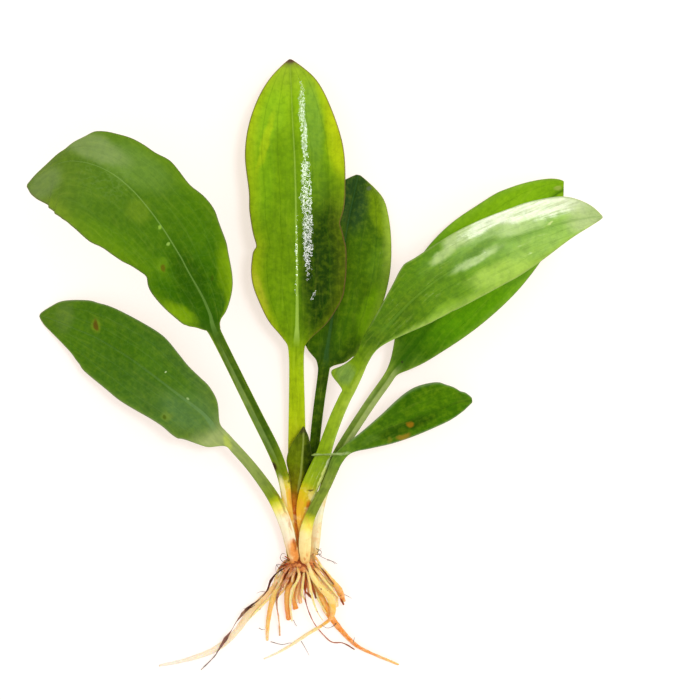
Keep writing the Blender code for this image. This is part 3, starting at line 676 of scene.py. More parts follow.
# The root hairs and threads: single dark fibres that stand out from the fan, and the ring of short
# ones round the crown where old leaves have rotted away.
HAIR_SIDES = 4
HAIR = 0.10
HAIR_TAPER = 0.6
HAIR_WRINKLE = 0.2
HAIRS = [
    [(-4.6, 0.2, 4.2), (-5.8, 0.8, 4.0), (-6.4, 1.8, 3.4), (-5.8, 2.9, 3.0), (-4.8, 2.7, 2.8)],
    [(-3.6, 0.9, 4.6), (-4.9, 1.6, 4.6), (-5.9, 1.9, 4.2)],
    [(-3.0, 1.6, 5.0), (-4.2, 2.5, 4.6), (-3.4, 3.2, 4.0)],
    [(-4.4, -0.6, 5.4), (-6.2, -0.2, 5.2), (-7.4, -0.2, 4.4), (-7.7, -1.8, 3.6), (-7.3, -4.0, 3.0)],
    [(-7.4, -0.2, 4.4), (-6.8, -1.2, 4.4), (-5.8, -2.2, 4.6), (-4.0, -3.4, 5.4)],
    [(4.4, 4.7, 5.6), (5.1, 4.3, 5.2), (5.9, 4.6, 4.8)],
    [(4.6, 2.9, 5.6), (5.4, 3.1, 5.2), (6.0, 2.5, 4.8)],
    [(-10.6, -8.4, 4.4), (-12.0, -8.3, 3.8), (-13.5, -9.0, 2.6)],
    [(-14.0, -12.4, 3.4), (-15.6, -13.6, 2.0), (-17.6, -13.9, 0.6)],
    [(-12.6, -11.6, 1.4), (-12.2, -12.9, 0.8), (-12.6, -14.2, 0.4), (-13.6, -14.3, 0.3)],
    [(-12.9, -19.7, 0.4), (-12.0, -20.2, 0.4), (-11.1, -20.1, 0.6)],
    [(-9.4, -23.8, 0.5), (-6.0, -24.7, 0.3), (-3.6, -24.2, 0.3), (-1.6, -24.4, 0.8)],
    [(-2.5, -17.2, 1.6), (-2.0, -18.5, 0.6), (-1.5, -19.2, 0.3)],
    [(4.9, 3.2, 5.6), (5.9, 2.2, 5.0), (7.2, 1.4, 3.6), (8.8, 0.6, 2.0), (10.0, -0.5, 0.8)],
    [(4.6, 3.4, 5.6), (5.4, 4.2, 5.2), (5.9, 3.4, 4.8), (5.2, 2.6, 4.8)],
    [(7.6, 0.9, 2.0), (9.0, 0.4, 1.0), (10.6, -0.5, 0.5)],
    [(11.8, -9.2, 2.0), (13.4, -9.9, 1.0), (14.9, -10.9, 0.3)],
    [(10.4, -17.9, 2.4), (9.2, -18.8, 3.2), (7.9, -19.2, 3.6), (6.9, -18.9, 3.8), (6.0, -18.2, 3.9)],
    [(-0.2, -23.6, 0.8), (0.9, -25.6, 0.3), (2.2, -28.0, 0.3)],
    [(-8.6, -10.4, 3.2), (-9.1, -13.6, 2.4), (-9.6, -17.0, 1.8)],
    [(15.4, -23.6, 1.6), (15.8, -22.4, 1.0)],
]
RING_HAIRS = 30
RING_HALF_WIDE = 4.6
RING_BACK = 0.9
RING_DEPTH = 2.4
RING_HEIGHT = 4.4
RING_FALL = 1.4
RING_FAN = 62.0


def draw_hair(name, route, radius, seed):
    """A hair along its route of (x, y, z), as thick as its radius and finer at its tip."""
    last = len(route) - 1
    thick = [(x, y, z, radius * (1.0 - HAIR_TAPER * i / last)) for i, (x, y, z) in enumerate(route)]
    return draw_root(name, thick, 1.0, 0.0, HAIR_WRINKLE, HAIR_SIDES, seed)


chance = random.Random(7)
hairs = [draw_hair("hair", route, HAIR, number) for number, route in enumerate(HAIRS)]
for number in range(RING_HAIRS):
    side = chance.uniform(-1.0, 1.0)
    ring_y = RING_BACK - RING_DEPTH * (1.0 - side * side) + chance.uniform(-0.5, 0.5)
    start = Vector((RING_HALF_WIDE * side, ring_y, RING_HEIGHT))
    start.z += chance.uniform(-1.0, 0.8) - RING_FALL * abs(side)
    aim = math.radians(-90.0 + RING_FAN * side + chance.uniform(-42.0, 42.0))
    reach = chance.uniform(1.0, 2.8)
    bow = chance.uniform(-0.5, 0.5)
    half_way = Vector((math.cos(aim) - bow * math.sin(aim), math.sin(aim) + bow * math.cos(aim), 0.25))
    middle = start + half_way * reach / 2
    end = start + Vector((math.cos(aim), math.sin(aim), -0.25)) * reach
    route = [tuple(start), tuple(middle), tuple(end)]
    hairs.append(draw_hair("hair", route, chance.uniform(0.07, 0.15), number))
root_hairs = join_up(hairs, "root_hairs")
bpy.ops.object.shade_smooth()
root_hairs.data.materials.append(hair_brown)
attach(root_hairs, "root")

# The tallest leaf, in the middle: a broad yellow-green petiole and an oval blade with a nick in each
# margin. Like every leaf of the plant it grew as one piece, a sheath round the crown that narrows to a
# petiole and widens to a thin, glossy blade, here set row by row along its midrib.
LEAF_STRIPS = 18
ROWS_BETWEEN = 4
SIDE_CURVE = 1.5
THICKEST_LEAF = 2.0
BLADE_THINNING = 0.45
PETIOLE_THINNING = 0.8
PETIOLE_HALF_WIDTH = 2.6
PETIOLE_CROWNING = 0.35
WIDEST_HALF = 21.0
ROUNDED_AWAY = 0.35
UNDERSIDE_PALE = (150, 178, 110)
UNDERSIDE_SHARE = 0.45
STALK_RIBBING = 0.22
GREEN_SHEEN = (1.0, 1.0, 0.25, 1.0)
LEAF_GLOSS = 0.12
FILM_GLOSS = 2.2
LEAF_RELIEF = 0.10
EDGE_CLOUDS = 240.0
EDGE_WANDER = 2.4
BROAD_CLOUDS = 130.0
LEAF_QUILTS = 420.0
LEAF_CELLS = 620.0
LEAF_NET = 380.0
LEAF_GRAIN = 1500.0
SHEATH_CLOUDS = 330.0
SIDE_VEINS_AT = (0.34, 0.66)
SIDE_VEIN_WIDTH = 0.025
USUAL_LOOK = {
    "clouding": 0.22,
    "fleck": 0.08,
    "fibres": 0.10,
    "net": 0.05,
    "side_veins": 0.12,
    "margin_from": 0.62,
    "trough_paint": (60, 105, 5),
    "rim_strength": 0.5,
    "wisps": [],
    "spots": [],
    "drops": 1300.0,
    "beads": 0.12,
    "film_edge": (0.98, 1.10),
    "film": 1.0,
    "film_softness": 0.14,
}


def grow_leaf(name, stations, waves=(0.0, 0.0, 1.0), groove=0.25):
    """A leaf as a sheet that is shaped row by row and then thickened downwards.

    A station is x, y and z of the midrib, the width to the left and to the right of it, the lift of the
    left and of the right margin, the thickness, and the turn of the row where it isn't square to the
    midrib. Waves are the heights of the ripples of the left and right margin, and how many there are.
    With the leaf comes its half width at each distance along it.
    """
    stations = [row if len(row) > 8 else (*row, 0.0) for row in stations]
    rows = rows_along(stations, ROWS_BETWEEN)
    last = len(rows) - 1
    bpy.ops.object.select_all(action="DESELECT")
    bpy.ops.mesh.primitive_grid_add(
        x_subdivisions=LEAF_STRIPS, y_subdivisions=last, size=2 * MM, calc_uvs=True
    )
    leaf = bpy.context.object
    leaf.name = name
    bpy.ops.object.mode_set(mode="EDIT")
    sheet = bmesh.from_edit_mesh(leaf.data)

    half = LEAF_STRIPS // 2
    lines = [[None] * (LEAF_STRIPS + 1) for _ in rows]
    for point in sheet.verts:
        line = round((point.co.y / MM + 1.0) / 2.0 * last)
        column = round((point.co.x / MM + 1.0) * half)
        lines[line][column] = point
    for column in range(LEAF_STRIPS + 1):
        take_only([line[column] for line in lines])
        across = abs(column - half) / half
        bpy.ops.transform.translate(value=(0.0, 0.0, across**SIDE_CURVE * MM))

    run = [0.0]
    for near, far in zip(rows, rows[1:]):
        run.append(run[-1] + (Vector(far[0:3]) - Vector(near[0:3])).length)
    thinness = []
    for i, (row, line) in enumerate(zip(rows, lines)):
        x, y, z, left, right, lift_left, lift_right, thickness, turn = row
        ahead = Vector(rows[min(i + 1, last)][0:3]) - Vector(rows[max(i - 1, 0)][0:3])
        heading = math.atan2(-ahead.x, ahead.y) + math.radians(turn)
        blade = min(max((left + right) / 2.0 - PETIOLE_HALF_WIDTH, 0.0) / 2.0, 1.0)
        ripple = blade * math.sin(2.0 * math.pi * waves[2] * run[i] / run[-1])
        lift_left += ripple * waves[0] - (1.0 - blade) * PETIOLE_CROWNING
        lift_right += ripple * waves[1] - (1.0 - blade) * PETIOLE_CROWNING
        rounded_away = min(ROUNDED_AWAY, 0.5 * min(left, right))
        left += rounded_away
        right += rounded_away
        centre = (0.0, (2.0 * i / last - 1.0) * MM, 0.0)
        take_only(line[: half + 1])
        bpy.ops.transform.resize(value=(max(left, 0.1), 1.0, lift_left), center_override=centre)
        take_only(line[half:])
        bpy.ops.transform.resize(value=(max(right, 0.1), 1.0, lift_right), center_override=centre)
        take_only([line[half]])
        bpy.ops.transform.translate(value=(0.0, 0.0, -groove * blade * MM))
        take_only(line)
        bpy.ops.transform.rotate(value=-heading, orient_axis="Z", center_override=centre)
        target = Vector((x + CROWN_X, y + CROWN_Y, z)) * MM
        bpy.ops.transform.translate(value=target - Vector(centre))
        thinning = PETIOLE_THINNING + (BLADE_THINNING - PETIOLE_THINNING) * blade
        for column, point in enumerate(line):
            across = abs(column - half) / half
            thinness.append((point.index, thickness / THICKEST_LEAF * (1.0 - thinning * across**2)))
    markings = sheet.loops.layers.uv.active
    for i, line in enumerate(lines):
        for point in line:
            for loop in point.link_loops:
                loop[markings].uv.y = run[i] / run[-1]
    bpy.ops.object.mode_set(mode="OBJECT")

    group = leaf.vertex_groups.new(name="thickness")
    for index, weight in thinness:
        group.add([index], weight, "REPLACE")
    flesh = leaf.modifiers.new("flesh", "SOLIDIFY")
    flesh.thickness = THICKEST_LEAF * MM
    flesh.offset = -1.0
    flesh.vertex_group = group.name
    flesh.material_offset = 1
    bpy.ops.object.modifier_apply(modifier=flesh.name)
    round_off(leaf, 1)
    halves = [(run[i * ROWS_BETWEEN], (row[3] + row[4]) / 2.0) for i, row in enumerate(stations)]
    return leaf, halves


def soft_oval(tree, place, x, y, half_width, half_length, turn):
    """1 at the middle of an oval on the piece, falling to 0 at its edge: the turn is in degrees."""
    sockets = {
        "Vector": place,
        "Location": (x * MM, y * MM, 0.0),
        "Rotation": (0.0, 0.0, math.radians(turn)),
        "Scale": (half_width * MM, half_length * MM, 1.0),
    }
    mapping = add_node(tree, "ShaderNodeMapping", sockets, vector_type="TEXTURE").outputs[0]
    return add_node(tree, "ShaderNodeTexGradient", {0: mapping}, gradient_type="SPHERICAL").outputs["Fac"]


def paint_patch(tree, place, colour, patch, share=None):
    """A soft oval of another colour: x, y, half width, half length, turn in degrees, colour, strength."""
    x, y, half_width, half_length, turn, paint, strength = patch[:7]
    amount = fade(tree, soft_oval(tree, place, x, y, half_width, half_length, turn), 0.0, 0.6, strength)
    if share is not None:
        amount = times(tree, amount, share)
    return lay_over(tree, amount, colour, paint)


def leaf_finish(name, look, halves, underside):
    """Leaf skin. The look gives the colours along the leaf, its margins, veins, patches and shine.
    Some patches, and the margin band on the youngest leaf, are painted highlight and painted shade.

    Where a look leaves something out, it is as in USUAL_LOOK.
    """
    look = {**USUAL_LOOK, **look}
    material, tree, shader, place = new_finish(name)
    split = add_node(tree, "ShaderNodeSeparateXYZ", {0: tree.nodes["Texture Coordinate"].outputs["UV"]})
    signed = work_out(tree, "MULTIPLY_ADD", split.outputs["X"], 2.0, -1.0)
    along = split.outputs["Y"]
    aside = work_out(tree, "ABSOLUTE", signed)
    clouds = add_node(tree, "ShaderNodeTexNoise", {"Vector": place, "Scale": EDGE_CLOUDS, "Detail": 3.0})
    shift = {0: clouds.outputs["Color"], 1: (0.5, 0.5, 0.5)}
    shift = add_node(tree, "ShaderNodeVectorMath", shift, operation="SUBTRACT").outputs[0]
    shift = add_node(tree, "ShaderNodeVectorMath", {0: shift, "Scale": EDGE_WANDER * MM}, operation="SCALE")
    shift = shift.outputs[0]
    rough_place = add_node(tree, "ShaderNodeVectorMath", {0: place, 1: shift}, operation="ADD").outputs[0]

    length = halves[-1][0]
    start = look["blade"]

    def stops(pairs):
        return [(distance / length, *value) for distance, *value in pairs]

    half_width = colours_along(tree, along, stops([(run, half / WIDEST_HALF) for run, half in halves]))
    half_width = times(tree, half_width, WIDEST_HALF)
    from_rib = times(tree, aside, half_width)
    from_rim = work_out(tree, "SUBTRACT", half_width, from_rib)

    colour = colours_along(tree, along, stops(look["along"]))
    blade = fade(tree, along, start / length, start / length + 0.04)
    halves_of_blade = {
        "left": fade(tree, signed, 0.02, -0.10),
        "right": fade(tree, signed, -0.02, 0.10),
    }
    for patch in look["patches"]:
        half_only = halves_of_blade[patch[7]] if len(patch) > 7 else None
        colour = paint_patch(tree, rough_place, colour, patch, half_only)
    for side, turned in (("left", -1.0), ("right", 1.0)):
        if side in look:
            band = colours_along(tree, along, stops(look[side]))
            edge = fade(tree, times(tree, signed, turned), look["margin_from"], 1.0)
            colour = lay_over(tree, times(tree, edge, band), colour, look["margin"])

    green = fade(tree, along, (look["sheath"] - 2.0) / length, (look["sheath"] + 3.0) / length)
    broad = fade(tree, mottle(tree, place, BROAD_CLOUDS, 3.0), 0.35, 0.70, look["clouding"])
    colour = lay_over(tree, times(tree, broad, green), colour, (150, 190, 40), "MULTIPLY")
    cells = mottle(tree, place, LEAF_CELLS, 4.0, 0.6)
    quilts = fade(tree, mottle(tree, place, LEAF_QUILTS, 2.0), 0.60, 0.36, 1.2 * look["fleck"])
    colour = lay_over(tree, times(tree, quilts, green), colour, (120, 160, 60), "MULTIPLY")
    pale_cells = times(tree, fade(tree, cells, 0.42, 0.68, look["fleck"]), green)
    dark_cells = times(tree, fade(tree, cells, 0.52, 0.34, 1.6 * look["fleck"]), green)
    colour = lay_over(tree, pale_cells, colour, (190, 220, 30))
    colour = lay_over(tree, dark_cells, colour, (20, 50, 5))

    sideways = times(tree, times(tree, signed, half_width), 1.5)
    sockets = {"X": sideways, "Y": times(tree, along, length * 0.09), "Z": length}
    fibres = mottle(tree, add_node(tree, "ShaderNodeCombineXYZ", sockets).outputs[0], 1.0, 4.0, 0.65)
    ribbing = work_out(tree, "MULTIPLY_ADD", blade, look["fibres"] - STALK_RIBBING, STALK_RIBBING)
    pale_line = times(tree, fade(tree, fibres, 0.50, 0.72), ribbing)
    dark_line = times(tree, fade(tree, fibres, 0.50, 0.30), ribbing)
    colour = lay_over(tree, pale_line, colour, (150, 150, 60), "SCREEN")
    colour = lay_over(tree, dark_line, colour, (110, 110, 60), "MULTIPLY")
    sheath = work_out(tree, "SUBTRACT", 1.0, green)
    warmth = mottle(tree, place, SHEATH_CLOUDS, 4.0, 0.6)
    ripe = times(tree, fade(tree, warmth, 0.48, 0.74, 0.5), sheath)
    blanched = times(tree, fade(tree, warmth, 0.50, 0.30, 0.5), sheath)
    colour = lay_over(tree, ripe, colour, (240, 160, 66))
    colour = lay_over(tree, blanched, colour, (255, 236, 170))

    net_sockets = {"Vector": rough_place, "Scale": LEAF_NET}
    net = add_node(tree, "ShaderNodeTexVoronoi", net_sockets, feature="DISTANCE_TO_EDGE")
    net_line = times(tree, fade(tree, net.outputs["Distance"], 0.09, 0.0), blade)
    colour = lay_over(tree, times(tree, net_line, look["net"]), colour, look["vein"])
    for patch in look["wisps"]:
        wisp = work_out(tree, "SUBTRACT", mottle(tree, place, LEAF_QUILTS, 3.0, 0.5), 0.5)
        wisp = work_out(tree, "ABSOLUTE", wisp)
        colour = paint_patch(tree, rough_place, colour, patch, fade(tree, wisp, 0.05, 0.0))
    wobble = work_out(tree, "MULTIPLY_ADD", clouds.outputs["Fac"], 0.05, -0.025)
    vein_lines = None
    for vein in SIDE_VEINS_AT:
        away = work_out(tree, "SUBTRACT", work_out(tree, "ADD", aside, wobble), vein)
        away = work_out(tree, "ABSOLUTE", away)
        line = times(tree, fade(tree, away, SIDE_VEIN_WIDTH, 0.0), blade)
        vein_lines = line if vein_lines is None else work_out(tree, "MAXIMUM", vein_lines, line)
    veins = times(tree, vein_lines, look["side_veins"])
    colour = lay_over(tree, veins, colour, look["vein"])

    widths = look.get("rib_width", [(start, 1.0), (start + 7, 0.5), (start + 20, 0.34), (length, 0.16)])
    beside = work_out(tree, "DIVIDE", from_rib, colours_along(tree, along, stops(widths)))
    midrib = times(tree, fade(tree, beside, 1.25, 0.7), blade)
    trough = times(tree, fade(tree, beside, 6.0, 1.0), blade)
    depth, strength = look["trough"], look["midrib_strength"]
    if isinstance(depth, list):
        depth = colours_along(tree, along, stops(depth))
    if isinstance(strength, list):
        strength = colours_along(tree, along, stops(strength))
    trough = times(tree, trough, depth)
    colour = lay_over(tree, trough, colour, look["trough_paint"])
    colour = lay_over(tree, times(tree, midrib, strength), colour, look["midrib"])
    for spot in look["spots"]:
        colour = paint_patch(tree, rough_place, colour, spot)
    rim = times(tree, fade(tree, from_rim, 0.6, 0.15), blade)
    rim = times(tree, rim, look["rim_strength"])
    colour = lay_over(tree, rim, colour, look["rim"])
    if underside:
        colour = lay_over(tree, times(tree, blade, UNDERSIDE_SHARE), colour, UNDERSIDE_PALE)
    tree.links.new(colour, shader.inputs["Base Color"])

    grain = mottle(tree, place, LEAF_GRAIN, 3.0, 0.6)
    skin = add_node(tree, "ShaderNodeMapRange", {"Value": cells, "To Min": 0.42, "To Max": 0.6})
    tree.links.new(skin.outputs["Result"], shader.inputs["Roughness"])
    shader.inputs["Specular IOR Level"].default_value = LEAF_GLOSS
    shader.inputs["Specular Tint"].default_value = GREEN_SHEEN
    if "wet" in look and not underside:
        film = None
        for x, y, wide, long, turn, strength in look["wet"]:
            oval = fade(tree, soft_oval(tree, rough_place, x, y, wide, long, turn), 0.0, 0.6, strength)
            film = oval if film is None else work_out(tree, "MAXIMUM", film, oval)
        drops = mottle(tree, place, look["drops"], 2.0, 0.7)
        if "smeared" in look:
            drops = times(tree, drops, 0.4)
            drops = work_out(tree, "MULTIPLY_ADD", fibres, look["smeared"], drops)
        film = work_out(tree, "ADD", film, drops)
        coat = fade(tree, film, *look["film_edge"], look["film"])
        tree.links.new(coat, shader.inputs["Coat Weight"])
        shader.inputs["Coat Roughness"].default_value = look["film_softness"]
        shader.inputs["Coat IOR"].default_value = FILM_GLOSS
        beads = add_node(tree, "ShaderNodeBump", {"Height": drops, "Distance": look["beads"] * MM})
        tree.links.new(beads.outputs["Normal"], shader.inputs["Coat Normal"])
    height = times(tree, grain, 0.35)
    for marking, rise in ((cells, 0.5), (midrib, -0.8), (vein_lines, -0.4), (net_line, -0.15)):
        height = work_out(tree, "MULTIPLY_ADD", marking, rise, height)
    press_in(tree, shader, height, LEAF_RELIEF)
    return material


def finish_leaf(leaf, halves, node, look):
    """Gives a leaf its skin above and below, and its place in the plant."""
    leaf.data.materials.clear()
    leaf.data.materials.append(leaf_finish(leaf.name + "_skin", look, halves, False))
    leaf.data.materials.append(leaf_finish(leaf.name + "_underside", look, halves, True))
    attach(leaf, "root")
    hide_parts(node)


def shine_lamp(name, leaf, aim, towards, size, watts):
    """A lamp that only shows as a reflection in one leaf, a metre from its aim, in millimetres."""
    point = Vector(aim) * MM
    lamp = add_lamp(name, point + Vector(towards).normalized(), point, size, watts)
    lamp.visible_diffuse = False
    shown = bpy.data.collections.new(name)
    shown.objects.link(leaf)
    lamp.light_linking.receiver_collection = shown


TALL_CENTRE = [
    (0.1, 0.3, 1.9, 1.6, 1.6, 0.0, 0.0, 1.5),
    (-0.5, 8.3, 2.0, 2.1, 2.1, 0.0, 0.0, 1.6),
    (-1.1, 18.8, 2.6, 2.3, 2.3, 0.0, 0.0, 1.8),
    (-1.4, 30.8, 3.4, 2.4, 2.4, 0.0, 0.0, 1.9),
    (-1.4, 47.0, 5.5, 2.1, 2.1, 0.0, 0.0, 1.9),
    (-1.4, 62.6, 8.1, 2.0, 1.9, 0.0, 0.0, 1.7),
    (-1.3, 66.6, 8.7, 3.7, 3.4, -0.5, -0.5, 1.3),
    (-1.2, 71.8, 9.3, 8.1, 8.8, -1.0, -1.0, 1.0),
    (-1.2, 78.3, 9.8, 11.2, 12.9, -1.0, -1.0, 0.9),
    (-1.2, 82.8, 10.0, 12.8, 13.9, -0.9, -0.9, 0.84),
    (-1.2, 87.1, 10.2, 13.3, 14.3, -0.8, -0.8, 0.8),
    (-1.2, 92.0, 10.3, 12.8, 14.3, -0.5, -0.6, 0.8),
    (-1.25, 93.5, 10.36, 12.35, 14.2, -0.3, -0.55, 0.8),
    (-1.3, 94.7, 10.4, 11.6, 14.0, -0.2, -0.5, 0.8),
    (-1.4, 97.6, 10.4, 12.3, 13.4, -0.3, -0.1, 0.8),
    (-1.5, 100.9, 10.5, 12.9, 12.7, -0.5, 0.2, 0.7),
    (-1.5, 105.2, 10.5, 13.5, 13.9, -0.7, -0.4, 0.7),
    (-1.6, 110.6, 10.5, 13.5, 14.4, -0.8, -0.8, 0.7),
    (-1.9, 120.9, 10.5, 14.4, 14.4, -0.6, -1.0, 0.6),
    (-2.4, 129.7, 10.2, 13.0, 12.7, -0.5, -1.0, 0.6),
    (-2.8, 138.4, 9.4, 9.6, 9.7, -0.3, -0.8, 0.5),
    (-3.1, 144.4, 8.5, 5.6, 6.2, 0.0, -0.3, 0.5),
    (-3.3, 149.7, 7.5, 0.15, 0.15, 0.0, 0.0, 0.45),
]
tall_centre, tall_centre_halves = grow_leaf("tall_centre_leaf", TALL_CENTRE, (0.15, 0.15, 6.0))
finish_leaf(
    tall_centre,
    tall_centre_halves,
    "leaf_tall_centre",
    {
        "along": [
            (0, 250, 205, 120), (18, 238, 194, 70), (32, 196, 198, 24), (44, 172, 194, 12),
            (58, 160, 188, 12), (66, 122, 158, 5), (76, 106, 148, 3), (92, 104, 144, 3),
            (112, 108, 152, 4), (124, 116, 160, 6), (138, 142, 186, 14), (147, 158, 190, 40),
            (150, 110, 96, 60),
        ],
        "sheath": 24,
        "blade": 64,
        "vein": (62, 104, 4),
        "side_veins": 0.22,
        "midrib": (176, 208, 90),
        "midrib_strength": [(64, 0.7), (78, 0.55), (110, 0.40), (130, 0.25), (150, 0.1)],
        "trough": 0.2,
        "margin": (196, 206, 16),
        "left": [(64, 0.3), (80, 0.6), (90, 0.5), (100, 0.2), (115, 0.35), (130, 0.5), (150, 0.2)],
        "right": [(64, 0.15), (100, 0.1), (112, 0.12), (119, 0.5), (130, 0.75), (140, 0.4), (150, 0.2)],
        "rim": (112, 78, 52),
        "rim_strength": 0.7,
        "patches": [
            # The dark patch on the right half is partly the leaf's darker green and partly painted shade on
            # the half turned from the light.
            (4.8, 27.0, 12.5, 35.0, 0.0, (14, 58, 2), 1.0, "right"),
            (7.2, 66.5, 4.2, 13.0, 10.0, (176, 200, 6), 0.8),
            (-12.8, 72.6, 6.0, 13.0, -20.0, (144, 192, 28), 0.7),
            (-14.6, 57.0, 5.0, 19.0, 0.0, (126, 176, 16), 0.6),
            # The two bluish patches right of the midrib are a painted reflection, a bluish sheen.
            (0.4, 72.0, 3.6, 17.0, 4.0, (116, 162, 58), 0.6, "right"),
            (1.8, 56.0, 4.0, 12.0, 4.0, (92, 136, 26), 0.5, "right"),
            (-16.0, 22.0, 2.6, 12.0, 15.0, (178, 176, 52), 0.75),
            (-13.6, 66.0, 1.6, 12.0, -14.0, (196, 216, 20), 0.5),
        ],
        "spots": [
            (-6.3, 90.6, 2.0, 1.6, 0.0, (92, 62, 54), 0.9),
            (-15.8, 17.0, 0.5, 0.8, 0.0, (110, 70, 20), 0.7),
            (-14.2, 12.4, 0.5, 0.6, 0.0, (110, 70, 20), 0.7),
            (-8.5, 4.5, 0.6, 0.6, 0.0, (120, 90, 20), 0.5),
        ],
        "wet": [
            (-1.4, 46.0, 2.9, 33.0, 1.6, 0.60), (-2.6, 72.0, 1.9, 22.0, 3.0, 0.60),
            (-4.5, 34.0, 0.6, 24.0, 0.0, 0.52), (0.4, 20.5, 0.9, 4.0, -20.0, 0.58),
        ],
    },
)
shine_lamp("tall_centre_shine", tall_centre, (-1.0, 45.0, 10.0), (0.06, 0.15, 1.0), (0.16, 0.80), 3.6)

# The leaf behind it, low on the surface and darker, with a thin dark petiole. Its left half lies under
# the tallest leaf.
LOW_BEHIND = [
    (2.9, 0.2, 1.6, 0.9, 0.9, 0.0, 0.0, 1.2),
    (3.2, 8.3, 1.7, 1.0, 1.0, 0.0, 0.0, 1.4),
    (3.1, 18.8, 2.0, 1.2, 1.2, 0.0, 0.0, 1.6),
    (3.6, 32.2, 2.3, 1.2, 1.2, 0.0, 0.0, 1.6),
    (4.8, 44.2, 2.8, 1.3, 1.2, 0.0, 0.0, 1.6),
    (6.4, 56.2, 3.4, 1.35, 1.35, 0.0, 0.0, 1.5),
    (6.76, 58.9, 3.57, 1.8, 1.9, 0.0, 0.0, 1.36),
    (7.0, 60.6, 3.7, 2.7, 5.6, 0.0, 0.0, 1.2),
    (7.3, 62.8, 3.85, 5.2, 7.8, -0.1, -0.1, 1.1),
    (7.7, 65.1, 4.0, 7.0, 9.8, -0.2, -0.2, 1.0),
    (8.7, 71.0, 4.3, 10.3, 12.0, -0.6, -0.6, 0.9),
    (10.2, 80.0, 4.5, 13.1, 14.0, -1.0, -1.2, 0.8),
    (11.7, 88.9, 4.3, 14.3, 14.6, -1.0, -1.4, 0.7),
    (13.2, 97.8, 3.8, 13.7, 13.5, -0.8, -1.2, 0.7),
    (14.7, 105.9, 2.6, 10.8, 11.2, -0.5, -0.8, 0.6),
    (15.9, 111.4, 1.5, 6.3, 8.05, -0.3, -0.3, 0.5),
    (16.9, 116.2, 0.6, 0.3, 0.4, 0.0, 0.0, 0.45),
]
low_behind, low_behind_halves = grow_leaf("low_behind_leaf", LOW_BEHIND, (0.1, 0.2, 4.0))
finish_leaf(
    low_behind,
    low_behind_halves,
    "leaf_low_behind",
    {
        "along": [
            (0, 250, 220, 150), (15, 236, 214, 130), (24, 120, 130, 20), (32, 58, 92, 10),
            (60, 50, 86, 8), (68, 62, 106, 2), (82, 74, 116, 2), (98, 70, 112, 6), (117, 54, 84, 26),
        ],
        "sheath": 24,
        "blade": 58,
        "vein": (40, 84, 20),
        "side_veins": 0.25,
        "midrib": (50, 94, 50),
        "midrib_strength": 0.5,
        "trough": 0.55,
        "trough_paint": (34, 70, 14),
        "margin": (164, 192, 66),
        "right": [(58, 0.3), (75, 0.45), (85, 0.55), (98, 0.85), (110, 0.9), (117, 0.2)],
        "margin_from": 0.74,
        "rim": (110, 120, 40),
        "rim_strength": 0.3,
        "patches": [
            (11.9, 50.0, 6.5, 13.0, 0.0, (38, 76, 34), 0.95),
            (20.4, 45.2, 3.8, 12.0, 20.0, (124, 156, 6), 0.75),
            (12.0, 14.0, 4.0, 12.0, 0.0, (70, 116, 4), 0.5),
            (19.0, 17.0, 5.6, 13.0, -25.0, (130, 184, 6), 0.9),
            (19.5, 30.0, 4.0, 9.0, -5.0, (98, 142, 26), 0.5),
        ],
        "spots": [(17.0, 53.5, 1.0, 0.8, 30.0, (96, 104, 90), 0.6)],
        "wet": [(20.3, 32.6, 4.0, 8.5, -8.0, 0.48), (20.3, 26.5, 2.6, 4.5, 0.0, 0.50)],
        "drops": 2100.0,
        "beads": 0.04,
        "film_edge": (0.92, 1.22),
        "film": 0.55,
        "smeared": 0.35,
    },
)
shine_lamp("low_behind_shine", low_behind, (20.0, 33.0, 3.0), (0.24, 0.12, 0.96), (0.20, 0.36), 1.4)

# The right leaf at the back: a channelled petiole, pale along one side, partly its colour and partly a
# painted highlight, and darker in the channel on the other, painted shade; and a low blade whose tip
# was torn off square.
RIGHT_BACK = [
    (3.8, 2.4, 3.7, 0.8, 0.7, 0.0, 0.0, 1.0),
    (4.1, 7.0, 3.9, 1.1, 1.1, 0.0, 0.0, 1.3),
    (4.6, 13.0, 4.1, 1.2, 1.2, 0.0, 0.0, 1.4),
    (5.8, 19.0, 4.3, 1.2, 1.2, 0.0, 0.0, 1.5),
    (7.9, 25.6, 4.6, 1.2, 1.2, 0.0, 0.0, 1.6),
    (11.2, 33.4, 5.1, 1.3, 1.3, 0.0, 0.0, 1.6),
    (19.6, 46.6, 6.0, 1.3, 1.3, 0.0, 0.0, 1.5),
    (24.9, 54.1, 6.5, 1.3, 1.3, 0.0, 0.0, 1.4),
    (27.0, 57.3, 6.7, 1.5, 1.5, 0.0, 0.0, 1.2),
    (29.5, 60.3, 6.9, 3.2, 3.4, 0.0, 0.0, 1.0),
    (33.3, 64.8, 7.1, 6.6, 6.0, 0.2, -0.3, 0.9),
    (39.2, 72.2, 7.2, 11.7, 9.2, 0.2, -0.8, 0.8),
    (46.9, 80.8, 6.9, 15.4, 11.4, 0.0, -1.2, 0.8),
    (55.3, 89.7, 6.2, 15.7, 12.1, -0.3, -1.2, 0.7),
    (63.4, 98.3, 5.0, 13.2, 11.0, -0.5, -1.0, 0.7),
    (67.4, 102.4, 4.2, 11.65, 9.2, -0.5, -0.8, 0.66),
    (71.0, 105.9, 3.4, 9.2, 7.0, -0.4, -0.6, 0.6),
    (75.9, 110.0, 1.7, 5.0, 3.0, 0.0, -0.2, 0.5, -14.0),
    (78.5, 111.5, 0.9, 2.4, 2.2, 0.0, 0.0, 0.5, -28.0),
]
right_back, right_back_halves = grow_leaf("right_back_leaf", RIGHT_BACK, (0.1, 0.2, 5.0))
